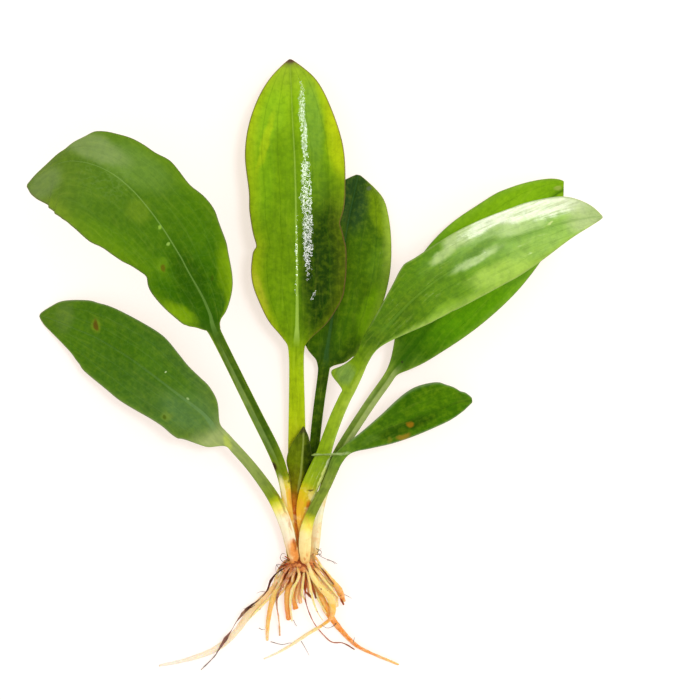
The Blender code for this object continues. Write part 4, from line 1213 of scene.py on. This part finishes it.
finish_leaf(
    right_back,
    right_back_halves,
    "leaf_right_back",
    {
        "along": [
            (0, 248, 200, 120), (8, 255, 236, 176), (12, 255, 252, 222), (17, 255, 244, 186),
            (21, 170, 176, 44), (29, 124, 148, 50), (50, 146, 168, 86), (62, 112, 146, 44),
            (71, 60, 110, 4), (84, 88, 148, 4), (104, 104, 164, 8), (130, 114, 168, 12),
            (147, 132, 176, 18),
        ],
        "sheath": 20,
        "blade": 60,
        "vein": (44, 92, 4),
        "side_veins": 0.15,
        "midrib": (44, 94, 4),
        "midrib_strength": 0.35,
        "trough": 0.45,
        "trough_paint": (40, 92, 2),
        "margin": (150, 185, 70),
        "left": [(60, 0.0), (120, 0.3), (147, 0.5)],
        "right": [(60, 0.6), (72, 0.25), (147, 0.35)],
        "margin_from": 0.80,
        "rim": (120, 140, 60),
        "rim_strength": 0.3,
        "fleck": 0.06,
        "patches": [
            (1.4, -51.0, 1.8, 5.0, 0.0, (255, 240, 196), 0.8),
            # The petiole's right side is paler, partly its colour and partly a painted highlight, and its
            # left side darker along the channel, painted shade.
            (15.7, -14.3, 2.4, 26.0, -34.5, (176, 190, 116), 0.75, "right"),
            (15.7, -14.3, 2.4, 26.0, -34.5, (92, 122, 34), 0.75, "left"),
            (57.0, 47.5, 6.0, 26.0, -64.0, (128, 176, 18), 0.9),
            (62.0, 28.5, 4.0, 11.0, -45.0, (98, 148, 30), 0.7),
            (28.0, 3.5, 3.0, 7.0, -30.0, (52, 102, 3), 0.7),
        ],
        "spots": [
            (73.5, 53.4, 1.4, 1.0, 0.0, (168, 176, 90), 0.5),
            (26.6, 1.4, 0.5, 0.5, 0.0, (50, 40, 30), 0.7),
        ],
    },
)

# The lower left leaf, whose tip rests on the surface. Its pale sheath is the outermost on the left of
# the crown. It has a brown spot with a yellow ring, an olive one near the petiole and two white specks.
LOWER_LEFT = [
    (-2.4, 0.2, 5.4, 0.5, 0.7, -0.4, 0.0, 0.9),
    (-2.7, 1.6, 6.0, 0.7, 1.7, -0.6, 0.0, 0.9),
    (-3.0, 3.4, 6.4, 0.9, 1.9, -0.9, 0.0, 0.9),
    (-3.5, 5.9, 6.7, 1.2, 1.8, -1.2, 0.0, 1.0),
    (-4.2, 9.8, 7.1, 1.5, 1.8, -1.4, 0.0, 1.2),
    (-5.1, 13.7, 7.4, 1.9, 1.5, -1.2, 0.0, 1.3),
    (-6.6, 17.5, 7.6, 1.9, 1.35, -0.6, 0.0, 1.5),
    (-9.4, 22.2, 7.9, 1.6, 1.25, 0.0, 0.0, 1.8),
    (-14.5, 28.9, 8.4, 1.25, 1.25, 0.0, 0.0, 1.8),
    (-19.3, 34.4, 9.0, 1.2, 1.2, 0.0, 0.0, 1.7),
    (-20.9, 36.1, 9.2, 1.2, 1.2, 0.0, 0.0, 1.5),
    (-22.0, 37.4, 9.4, 3.1, 1.2, 0.0, 0.0, 1.4),
    (-23.3, 38.9, 9.5, 5.75, 1.1, 0.0, 0.0, 1.3),
    (-25.2, 41.2, 9.7, 7.5, 1.3, 0.0, 0.0, 1.1),
    (-28.5, 44.8, 9.8, 9.8, 5.2, 0.2, 0.3, 0.9),
    (-31.3, 47.0, 9.75, 10.4, 7.0, 0.15, 0.4, 0.84),
    (-34.7, 49.5, 9.6, 10.1, 7.6, 0.0, 0.4, 0.8),
    (-38.3, 52.2, 9.3, 10.5, 8.15, -0.25, 0.3, 0.8),
    (-42.2, 55.1, 8.9, 11.2, 9.4, -0.5, 0.2, 0.8),
    (-46.6, 58.3, 8.2, 11.7, 10.75, -0.7, 0.1, 0.76),
    (-51.2, 61.5, 7.4, 11.4, 10.7, -0.8, 0.0, 0.7),
    (-59.7, 66.6, 5.8, 10.2, 10.1, -0.8, 0.0, 0.6),
    (-63.7, 68.4, 5.0, 8.4, 9.5, -0.7, 0.0, 0.6),
    (-67.4, 69.8, 4.1, 6.1, 9.0, -0.6, 0.0, 0.6),
    (-73.7, 72.3, 2.2, 3.3, 6.2, -0.3, 0.0, 0.5),
    (-76.6, 73.4, 1.3, 1.95, 3.0, -0.1, 0.0, 0.47),
    (-78.7, 74.1, 0.6, 0.25, 0.25, 0.0, 0.0, 0.45),
]
lower_left, lower_left_halves = grow_leaf("lower_left_leaf", LOWER_LEFT, (0.2, 0.2, 6.0))
finish_leaf(
    lower_left,
    lower_left_halves,
    "leaf_lower_left",
    {
        "along": [
            (0, 226, 130, 54), (4, 252, 204, 146), (8, 255, 236, 204), (14, 255, 248, 210),
            (17.6, 252, 238, 110), (19.6, 196, 200, 24), (21.6, 124, 144, 30), (27, 132, 150, 68),
            (46, 160, 174, 108), (52, 94, 124, 46), (60, 76, 114, 42), (80, 66, 110, 22),
            (100, 72, 116, 14), (114, 84, 120, 24),
        ],
        "sheath": 18,
        "blade": 46,
        "vein": (108, 146, 80),
        "fleck": 0.05,
        "clouding": 0.16,
        "side_veins": 0.10,
        "midrib": (116, 152, 96),
        "midrib_strength": [(46, 0.5), (62, 0.25), (80, 0.1), (114, 0.1)],
        "trough": 0.1,
        "margin": (128, 158, 60),
        "left": [(46, 0.5), (60, 0.3), (114, 0.4)],
        "right": [(46, 0.4), (58, 0.4), (70, 0.15), (114, 0.15)],
        "margin_from": 0.84,
        "rim": (128, 140, 96),
        "patches": [
            (-5.1, -54.6, 1.7, 4.6, 4.0, (236, 140, 52), 0.85),
            (-4.9, -52.6, 0.8, 2.4, 0.0, (176, 78, 20), 0.85),
            (-6.3, -46.8, 0.5, 2.6, 16.0, (196, 120, 70), 0.6),
            # A brown-olive line along the right edge at the foot of the petiole, partly its colour and partly
            # painted shade in the crease.
            (-9.3, -40.2, 0.5, 5.5, 28.0, (116, 96, 30), 0.6),
            (-36.0, -13.0, 7.0, 12.0, 60.0, (86, 124, 62), 0.8),
            (-24.9, -22.3, 1.6, 3.6, 20.0, (186, 200, 90), 0.85),
            (-44.0, -1.0, 5.0, 18.0, 50.0, (76, 122, 12), 0.5),
            (-58.0, 8.0, 5.0, 12.0, 50.0, (64, 110, 8), 0.6),
            (-74.0, 15.0, 4.0, 6.0, 0.0, (96, 126, 50), 0.6),
            (-42.6, -14.6, 2.6, 1.8, 0.0, (120, 146, 50), 0.6),
            (-64.3, 12.4, 1.9, 3.0, 12.0, (116, 140, 30), 0.7),
        ],
        "spots": [
            (-64.3, 12.4, 0.85, 2.2, 12.0, (96, 74, 14), 0.9),
            (-43.2, -14.9, 1.0, 0.9, 20.0, (70, 92, 10), 0.8),
            (-42.7, -1.5, 0.4, 0.4, 0.0, (190, 210, 150), 0.8),
            (-36.2, -9.4, 0.3, 0.6, 30.0, (170, 196, 130), 0.7),
        ],
    },
)

# The upper left leaf: it arches up off the surface, and its upper half rolls over towards the tip. The
# lower margin has a nick, and the blade a brown spot and two pale specks.
UPPER_LEFT = [
    (-2.6, 0.2, 4.5, 1.2, 1.2, 0.0, 0.0, 1.2),
    (-3.3, 7.1, 4.7, 1.4, 1.4, 0.0, 0.0, 1.2),
    (-3.9, 14.6, 5.1, 1.5, 1.1, 0.0, 0.0, 1.3),
    (-4.3, 19.1, 5.6, 1.3, 1.05, 0.0, 0.0, 1.4),
    (-5.3, 25.8, 6.6, 1.45, 1.35, 0.0, 0.0, 1.7),
    (-8.0, 33.7, 8.4, 1.6, 1.6, 0.0, 0.0, 1.9),
    (-13.6, 45.4, 11.6, 1.5, 1.5, 0.0, 0.0, 2.0),
    (-23.4, 66.2, 18.0, 1.4, 1.4, 0.0, 0.0, 1.7),
    (-24.7, 69.9, 19.2, 2.75, 1.4, 0.0, 0.0, 1.4),
    (-25.2, 72.0, 19.8, 6.8, 2.3, 0.2, 0.2, 1.25),
    (-25.9, 74.2, 20.3, 8.2, 5.4, 0.5, 0.5, 1.1),
    (-28.2, 79.4, 21.4, 10.4, 9.8, 0.8, 0.6, 0.9),
    (-32.0, 86.2, 22.8, 11.9, 12.7, 1.0, 0.3, 0.8),
    (-33.9, 89.9, 23.5, 10.9, 13.6, 1.0, 0.0, 0.8),
    (-35.9, 93.3, 24.2, 12.4, 14.4, 1.0, -0.4, 0.8),
    (-37.6, 96.2, 24.8, 14.35, 15.0, 1.0, -0.8, 0.8),
    (-39.7, 99.5, 25.5, 15.8, 14.5, 0.9, -1.2, 0.8),
    (-42.0, 102.8, 26.2, 16.95, 13.1, 0.8, -1.6, 0.75, 0.0),
    (-44.4, 105.9, 26.8, 18.5, 13.1, 0.6, -1.9, 0.7, 0.0),
    (-46.7, 108.5, 27.3, 18.95, 13.15, 0.4, -2.2, 0.7, -0.4),
    (-49.2, 110.9, 27.65, 19.0, 11.9, 0.2, -2.5, 0.7, -1.1),
    (-51.8, 113.0, 27.9, 18.85, 11.55, -0.1, -2.8, 0.7, -2.6),
    (-54.4, 114.6, 28.1, 18.55, 11.15, -0.4, -3.0, 0.7, -4.7),
    (-57.1, 115.85, 28.2, 17.95, 10.45, -0.6, -3.2, 0.65, -7.2),
    (-59.8, 116.7, 28.1, 17.35, 9.95, -0.8, -3.2, 0.6, -10.2),
    (-62.4, 117.2, 27.8, 16.4, 8.95, -0.9, -3.0, 0.6, -13.3),
    (-65.0, 117.4, 27.4, 15.25, 6.4, -1.0, -2.6, 0.6, -19.7),
    (-67.5, 117.0, 26.9, 13.4, 4.4, -1.0, -2.1, 0.55, -28.5),
    (-69.8, 116.2, 26.2, 11.25, 3.0, -1.0, -1.6, 0.5, -35.4),
    (-74.0, 113.8, 24.6, 6.85, 1.5, -0.6, -0.8, 0.5, -42.2),
    (-76.4, 112.1, 23.45, 3.75, 0.85, -0.3, -0.35, 0.47, -42.8),
    (-78.3, 110.7, 22.5, 0.2, 0.2, 0.0, 0.0, 0.45, -42.4),
]
upper_left, upper_left_halves = grow_leaf("upper_left_leaf", UPPER_LEFT, (0.25, 0.2, 6.0))
not_shading = bpy.data.collections.new("not_shading")
not_shading.objects.link(upper_left)
not_shading.collection_objects[0].light_linking.link_state = "EXCLUDE"
main_lamp.light_linking.blocker_collection = not_shading
finish_leaf(
    upper_left,
    upper_left_halves,
    "leaf_upper_left",
    {
        "along": [
            (0, 240, 150, 70), (8, 244, 178, 84), (16, 248, 202, 90), (21, 240, 200, 66),
            (23.5, 220, 200, 36), (26.5, 114, 134, 10), (38, 70, 102, 20), (72, 70, 104, 22),
            (78, 42, 92, 1), (92, 56, 106, 1), (110, 72, 116, 12), (132, 84, 122, 28),
            (152, 100, 128, 38),
        ],
        "sheath": 26,
        "blade": 72,
        "vein": (118, 158, 66),
        "net": 0.06,
        "fleck": 0.04,
        "clouding": 0.12,
        "side_veins": 0.07,
        "midrib": (140, 176, 88),
        "midrib_strength": [(72, 0.35), (84, 0.3), (100, 0.42), (125, 0.42), (152, 0.1)],
        "rib_width": [(72, 0.9), (80, 0.4), (92, 0.22), (152, 0.14)],
        "trough": [(72, 0.7), (90, 0.4), (110, 0.1), (152, 0.0)],
        "trough_paint": (46, 92, 2),
        "margin": (136, 172, 14),
        "left": [(72, 0.7), (86, 0.6), (94, 0.1), (105, 0.3), (130, 0.3), (152, 0.1)],
        "right": [(72, 0.3), (82, 0.8), (92, 0.6), (100, 0.15), (120, 0.2), (152, 0.0)],
        "margin_from": 0.68,
        "rim": (104, 104, 72),
        "patches": [
            (-18.0, -9.6, 2.6, 27.0, 24.3, (122, 146, 76), 0.7, "left"),
            (-18.0, -9.6, 2.6, 27.0, 24.3, (54, 86, 14), 0.6, "right"),
            (-8.1, -37.0, 1.4, 6.5, 16.0, (255, 244, 196), 0.75, "left"),
            (-6.1, -33.8, 0.6, 1.0, 0.0, (104, 104, 10), 0.9),
            (-5.4, -40.5, 1.4, 6.0, 16.0, (236, 150, 50), 0.7, "right"),
            (-24.5, 27.0, 3.2, 10.0, 6.0, (110, 148, 2), 0.7),
            (-37.0, 15.4, 2.8, 7.0, 55.0, (124, 162, 6), 0.75),
            (-50.0, 57.0, 7.0, 15.0, 60.0, (112, 148, 58), 0.6),
            (-62.5, 63.0, 5.0, 16.0, 66.0, (134, 156, 92), 0.75),
            (-76.0, 52.0, 5.0, 9.0, -45.0, (122, 144, 84), 0.6),
            (-49.0, 44.5, 4.5, 5.0, 30.0, (130, 158, 40), 0.35),
            (-52.0, 34.0, 4.0, 20.0, 55.0, (94, 138, 10), 0.45),
            (-33.0, 42.0, 5.0, 10.0, 20.0, (76, 124, 2), 0.4),
            (-34.5, 25.0, 6.0, 12.0, 26.0, (40, 86, 1), 0.8),
            (-42.2, 29.4, 2.0, 2.6, 0.0, (112, 152, 20), 0.5),
            (-72.0, 44.0, 4.0, 8.0, 50.0, (122, 146, 40), 0.4),
        ],
        "wisps": [(-58.0, 54.0, 8.0, 12.0, 60.0, (150, 176, 108), 0.10)],
        "spots": [
            (-42.0, 28.6, 0.9, 1.4, 10.0, (96, 92, 10), 0.85),
            (-43.1, 39.8, 0.8, 0.8, 0.0, (150, 190, 70), 0.8),
            (-40.6, 34.9, 0.6, 0.6, 0.0, (160, 196, 90), 0.7),
            (-28.0, 25.4, 0.5, 1.2, 10.0, (60, 84, 6), 0.7),
            (-11.1, -29.6, 1.0, 2.1, 16.0, (60, 40, 26), 0.95),
        ],
    },
)

# The big right leaf in front, the highest: it rises towards the viewer, with a lobe at the base of its
# blade that hangs below the petiole. Its upper side shines white where it faces the light, partly as
# the lamp's reflection in its wet film and partly as a painted highlight and sheen in its colour.
RIGHT_FRONT = [
    (1.2, 0.2, 5.1, 1.0, 1.0, 0.0, 0.0, 1.1),
    (1.0, 7.2, 5.5, 1.2, 1.2, 0.0, 0.0, 1.2),
    (0.3, 13.2, 6.2, 1.4, 1.5, 0.0, 0.0, 1.3),
    (0.5, 17.7, 6.6, 1.6, 1.8, 0.0, 0.0, 1.4),
    (2.0, 22.2, 7.1, 2.1, 2.3, 0.0, 0.0, 1.4),
    (4.0, 27.0, 7.5, 2.1, 2.45, 0.0, 0.0, 1.8),
    (6.1, 31.7, 8.3, 1.9, 2.1, 0.0, 0.0, 2.0),
    (7.8, 36.8, 9.6, 1.7, 1.7, 0.0, 0.0, 2.0),
    (10.3, 43.7, 11.6, 1.6, 1.6, 0.0, 0.0, 1.9),
    (12.9, 49.6, 13.8, 1.5, 1.5, 0.0, 0.0, 1.8),
    (13.8, 51.5, 14.6, 1.8, 1.6, 0.0, 0.0, 1.7),
    (15.0, 54.0, 15.7, 6.8, 1.6, -1.6, 0.0, 1.5),
    (16.5, 57.1, 17.0, 4.5, 1.5, -1.2, 0.0, 1.4),
    (18.3, 61.0, 18.8, 2.3, 1.4, -0.4, 0.0, 1.3),
    (21.0, 65.0, 20.5, 3.3, 1.5, 0.0, 0.0, 1.1),
    (24.7, 69.9, 22.4, 4.1, 4.0, 0.6, 0.4, 1.0),
    (30.4, 76.1, 24.8, 6.2, 7.5, 1.5, 0.6, 0.9),
    (33.1, 78.6, 25.9, 7.8, 8.3, 1.9, 0.6, 0.9),
    (35.7, 80.8, 27.0, 8.9, 9.1, 2.3, 0.5, 0.8),
    (38.2, 82.9, 28.0, 8.2, 9.7, 2.5, 0.5, 0.8),
    (42.5, 85.7, 29.5, 8.3, 10.2, 2.4, 0.3, 0.8),
    (47.6, 88.9, 31.2, 8.2, 10.6, 2.3, 0.0, 0.8),
    (52.4, 91.4, 32.5, 8.1, 10.5, 2.1, -0.3, 0.75),
    (57.2, 93.5, 33.5, 8.0, 10.1, 1.9, -0.6, 0.7),
    (62.1, 95.5, 34.4, 7.8, 9.1, 1.5, -0.8, 0.65),
    (66.8, 97.1, 35.0, 7.8, 7.8, 1.15, -1.0, 0.6),
    (75.1, 99.3, 35.7, 7.0, 4.4, 0.4, -0.8, 0.5),
    (80.7, 100.4, 35.5, 4.1, 2.3, 0.0, -0.3, 0.5),
    (85.0, 100.7, 35.0, 0.15, 0.15, 0.0, 0.0, 0.45),
]
right_front, right_front_halves = grow_leaf("right_front_leaf", RIGHT_FRONT, (0.2, 0.2, 5.0))
finish_leaf(
    right_front,
    right_front_halves,
    "leaf_right_front",
    {
        "along": [
            (0, 240, 168, 84), (9, 244, 176, 76), (14, 246, 182, 52), (18, 222, 178, 10),
            (22, 206, 186, 4), (24.5, 150, 170, 2), (27, 134, 160, 8), (32, 128, 162, 8),
            (36, 136, 168, 12), (52, 138, 168, 34), (62, 124, 160, 10), (72, 58, 104, 1),
            (88, 76, 124, 2), (110, 98, 150, 30), (140, 150, 194, 86), (160, 180, 200, 130),
        ],
        "sheath": 22,
        "blade": 74,
        "vein": (90, 140, 40),
        "side_veins": 0.08,
        "midrib": (100, 150, 50),
        "midrib_strength": 0.2,
        "trough": 0.1,
        "margin": (160, 196, 78),
        "right": [(74, 0.7), (90, 0.8), (125, 0.9), (160, 0.5)],
        "margin_from": 0.70,
        "rim": (160, 176, 104),
        "rim_strength": 0.35,
        "patches": [
            (11.3, -12.5, 2.6, 22.0, -20.3, (190, 208, 84), 0.45, "right"),
            (11.3, -12.5, 2.6, 22.0, -20.3, (116, 148, 22), 0.5, "left"),
            # These two pale lines along the right edge of the sheath are partly its paler margin and partly a
            # painted highlight.
            (2.5, -34.4, 0.9, 11.0, -22.0, (248, 250, 150), 1.0),
            (4.7, -28.4, 0.7, 2.2, -22.0, (254, 254, 220), 1.0),
            (-0.4, -28.2, 0.4, 5.0, -24.0, (196, 218, 116), 0.9),
            (-0.8, -41.4, 1.0, 2.2, -6.0, (196, 76, 12), 0.8),
            # The pale green to near-white patches from here to the next dark one are a painted highlight and
            # sheen along the upper half of the blade.
            (54.0, 37.0, 7.0, 28.0, -66.0, (146, 190, 96), 0.55),
            (56.0, 41.2, 4.6, 20.0, -69.0, (184, 214, 140), 0.6),
            (42.3, 36.8, 3.4, 8.0, -54.0, (196, 216, 150), 0.75),
            (50.5, 41.3, 3.4, 9.0, -62.0, (232, 238, 206), 0.75),
            (58.5, 43.6, 3.6, 9.0, -70.0, (228, 236, 200), 0.75),
            (66.5, 45.0, 4.0, 9.0, -80.0, (228, 236, 200), 0.75),
            (73.5, 45.6, 3.4, 7.0, -95.0, (226, 232, 196), 0.7),
            (46.8, 30.6, 1.8, 10.0, -61.0, (204, 228, 160), 0.7),
            (47.0, 33.3, 1.6, 9.5, -60.0, (96, 142, 54), 0.85),
            # A pale streak of painted highlight.
            (37.4, 32.0, 2.0, 5.5, -52.0, (196, 220, 146), 0.75),
            (36.0, 26.5, 3.2, 10.0, -50.0, (84, 132, 20), 0.75),
            (54.0, 26.8, 4.2, 13.0, -70.0, (178, 214, 92), 0.85),
            (38.0, 16.8, 2.6, 7.0, -55.0, (142, 188, 50), 0.6),
            # Another pale streak of painted highlight.
            (59.2, 39.6, 3.0, 9.0, -74.0, (204, 228, 160), 0.55),
            (27.0, 17.0, 3.5, 10.0, -46.0, (76, 120, 4), 0.7),
            (64.0, 34.0, 4.0, 12.0, -70.0, (160, 200, 96), 0.6),
            (78.0, 42.0, 6.0, 9.0, -70.0, (190, 208, 146), 0.7),
            (9.9, -2.0, 4.0, 4.5, 0.0, (114, 150, 66), 0.9, "left"),
            (8.0, -9.0, 0.9, 6.0, -22.0, (190, 210, 60), 0.5, "right"),
        ],
        "spots": [
            (-0.7, -36.4, 1.3, 0.45, 0.0, (96, 80, 6), 0.9),
            (67.0, 40.5, 1.0, 0.5, 20.0, (216, 230, 150), 0.6),
        ],
        "fibres": 0.17,
        "wet": [
            (50.0, 40.8, 3.4, 15.0, -60.0, 0.38), (64.0, 44.4, 4.6, 16.0, -79.0, 0.35),
            (46.8, 30.4, 1.4, 9.0, -61.0, 0.16),
        ],
        "smeared": 1.1,
        "film_edge": (0.86, 1.30),
        "film": 0.5,
        "film_softness": 0.32,
        "drops": 900.0,
    },
)
shine_lamp("right_front_shine", right_front, (54.0, 36.0, 33.0), (-0.05, -0.25, 0.95), (0.90, 0.95), 21.0)

# The small spoon-shaped leaf on the right: a dull strap of a petiole that bends sharply into the blade,
# with two rusty spots. A pale, thin sliver of its margin runs back across the petiole of its neighbour.
SMALL_RIGHT = [
    (1.0, 0.3, 6.8, 0.4, 0.4, -0.3, -0.3, 1.0),
    (1.0, 1.4, 7.4, 1.0, 1.0, -0.5, -0.5, 1.0),
    (1.1, 2.9, 7.9, 1.3, 1.3, -0.8, -0.8, 1.1),
    (1.1, 5.2, 8.2, 1.6, 1.5, -0.9, -0.8, 1.2),
    (1.4, 9.9, 8.5, 1.6, 1.5, -0.8, -0.7, 1.2),
    (2.7, 14.6, 8.8, 1.25, 1.25, -0.3, -0.3, 1.4),
    (5.1, 19.4, 9.2, 1.1, 1.1, 0.0, 0.0, 1.6),
    (7.4, 23.6, 9.7, 1.1, 1.1, 0.0, 0.0, 1.6),
    (9.3, 28.1, 10.4, 1.2, 1.2, 0.0, 0.0, 1.5),
    (10.8, 31.3, 11.0, 1.5, 1.25, 0.0, 0.0, 1.3),
    (14.2, 34.2, 11.5, 1.8, 0.7, 0.0, 0.0, 1.0),
    (19.1, 36.9, 11.8, 2.7, 2.2, 0.3, 0.0, 0.9),
    (24.6, 39.6, 12.0, 4.4, 3.6, 0.6, 0.0, 0.8),
    (30.5, 41.9, 11.7, 7.0, 4.0, 0.6, 0.0, 0.7),
    (36.4, 44.4, 11.0, 8.5, 4.1, 0.5, 0.0, 0.7),
    (41.7, 46.5, 9.9, 7.8, 3.9, 0.3, 0.0, 0.6),
    (44.1, 47.3, 9.3, 6.4, 3.45, 0.15, 0.0, 0.54),
    (46.2, 48.0, 8.7, 4.7, 2.8, 0.0, 0.0, 0.5),
    (47.7, 48.4, 8.25, 2.8, 2.3, 0.0, 0.0, 0.5),
    (48.9, 48.6, 7.9, 2.1, 1.6, 0.0, 0.0, 0.5),
    (50.6, 48.8, 7.5, 0.4, 0.4, 0.0, 0.0, 0.45),
]
SLIVER_TONE = 0.32
SLIVER = [
    (12.9, 33.3, 11.6, 0.12, 0.12, 0.0, 0.0, 0.5),
    (10.5, 33.1, 11.9, 0.12, 0.12, 0.0, 0.0, 0.5),
    (6.8, 32.9, 11.9, 0.12, 0.12, 0.0, 0.0, 0.4),
    (4.4, 32.9, 11.8, 0.34, 0.34, 0.0, 0.0, 0.4),
    (3.1, 32.8, 11.7, 0.05, 0.05, 0.0, 0.0, 0.4),
]
small_right, small_right_halves = grow_leaf("small_right_leaf", SMALL_RIGHT, (0.15, 0.15, 4.0))
sliver, _ = grow_leaf("small_right_sliver", SLIVER)
for loop in sliver.data.uv_layers.active.data:
    loop.uv.y = SLIVER_TONE
bpy.ops.object.select_all(action="DESELECT")
sliver.select_set(True)
small_right.select_set(True)
bpy.context.view_layer.objects.active = small_right
bpy.ops.object.join()
finish_leaf(
    small_right,
    small_right_halves,
    "leaf_small_right",
    {
        "along": [
            (0, 240, 176, 96), (3, 252, 218, 140), (8, 254, 232, 160), (11.8, 248, 232, 96),
            (14.4, 186, 190, 30), (16, 122, 140, 44), (27, 126, 146, 56), (34, 96, 132, 36),
            (44, 72, 114, 14), (60, 58, 106, 1), (75, 62, 112, 1), (88, 76, 124, 12),
        ],
        "sheath": 14.0,
        "blade": 38,
        "vein": (54, 96, 6),
        "side_veins": 0.12,
        "midrib": (50, 90, 6),
        "midrib_strength": 0.3,
        "trough": 0.15,
        "margin": (120, 146, 90),
        "left": [(38, 0.4), (88, 0.3)],
        "right": [(38, 0.5), (60, 0.6), (88, 0.6)],
        "margin_from": 0.84,
        "rim": (134, 150, 112),
        "rim_strength": 0.35,
        "patches": [
            (5.6, -25.4, 0.6, 8.0, -88.0, (166, 190, 124), 0.8),
            (27.0, -17.8, 2.2, 14.0, -68.0, (38, 76, 3), 0.85),
            (31.0, -8.5, 3.0, 8.0, -62.0, (50, 98, 1), 0.6),
            (17.2, -21.4, 1.6, 4.0, -70.0, (112, 150, 50), 0.5),
            (36.0, -9.5, 5.0, 10.0, -62.0, (78, 124, 2), 0.6),
            (41.0, -16.4, 1.2, 10.0, -62.0, (84, 122, 36), 0.4),
        ],
        "spots": [
            (-2.3, -56.6, 0.6, 0.9, 0.0, (210, 120, 50), 0.7),
            (-1.2, -55.4, 0.4, 0.8, 0.0, (226, 150, 80), 0.6),
            (28.9, -16.7, 1.6, 1.3, 0.0, (150, 104, 14), 0.8),
            (26.9, -20.4, 1.2, 2.8, -72.0, (150, 118, 34), 0.75),
            (23.0, -21.5, 0.9, 1.2, 0.0, (120, 120, 30), 0.5),
        ],
    },
)

# The youngest leaf, still folded along its midrib, which comes up between the sheaths of its
# neighbours: olive on the left of the fold and nearly black on the right, where painted shade darkens
# the half turned from the light, with a dark tip.
YOUNG_FOLDED = [
    (-0.8, 0.6, 4.3, 0.7, 0.7, 0.0, 0.0, 1.0),
    (-0.8, 8.6, 4.5, 0.8, 0.7, 0.0, 0.0, 1.1),
    (-1.4, 16.1, 4.6, 1.3, 0.9, 0.0, 0.0, 0.9),
    (-1.0, 20.3, 4.9, 1.6, 1.0, 0.0, 0.0, 0.8),
    (-0.7, 23.6, 5.4, 2.2, 1.6, -0.2, -0.3, 0.7),
    (-0.1, 26.9, 5.9, 3.4, 2.0, -0.5, -1.2, 0.7),
    (0.2, 30.4, 6.5, 4.4, 2.7, -0.6, -1.4, 0.7),
    (0.5, 34.0, 6.9, 3.8, 2.1, -0.5, -1.2, 0.6),
    (0.7, 37.0, 7.2, 2.5, 1.4, -0.4, -0.9, 0.6),
    (0.7, 39.4, 7.5, 1.0, 0.6, -0.2, -0.4, 0.5),
    (0.7, 41.0, 7.8, 0.15, 0.15, 0.0, 0.0, 0.45),
]
young_folded, young_folded_halves = grow_leaf("young_folded_leaf", YOUNG_FOLDED, (0.0, 0.0, 1.0), 0.0)
finish_leaf(
    young_folded,
    young_folded_halves,
    "leaf_young_folded",
    {
        "along": [
            (0, 250, 164, 84), (9, 240, 140, 50), (14, 216, 104, 24), (16, 206, 108, 22),
            (19, 176, 110, 12), (23, 122, 112, 6), (30, 104, 122, 4), (37, 84, 102, 8), (41, 54, 58, 22),
        ],
        "sheath": 19,
        "blade": 20,
        "vein": (80, 100, 10),
        "midrib": (160, 172, 84),
        "midrib_strength": 0.45,
        "rib_width": [(20, 0.35), (41, 0.2)],
        "trough": 0.0,
        # The right band, in the near-black margin colour from close to the fold outwards, is painted shade on
        # the right half.
        "right": [(14, 0.95), (41, 0.95)],
        "margin": (40, 60, 3),
        "margin_from": 0.10,
        "rim": (96, 112, 30),
        "rim_strength": 0.2,
        # This patch darkens the right half further: painted shade.
        "patches": [(-0.9, -27.0, 2.8, 11.0, 0.0, (44, 62, 3), 0.95, "right")],
        "spots": [(-2.4, -18.0, 1.6, 2.0, 0.0, (58, 52, 26), 0.8)],
    },
)
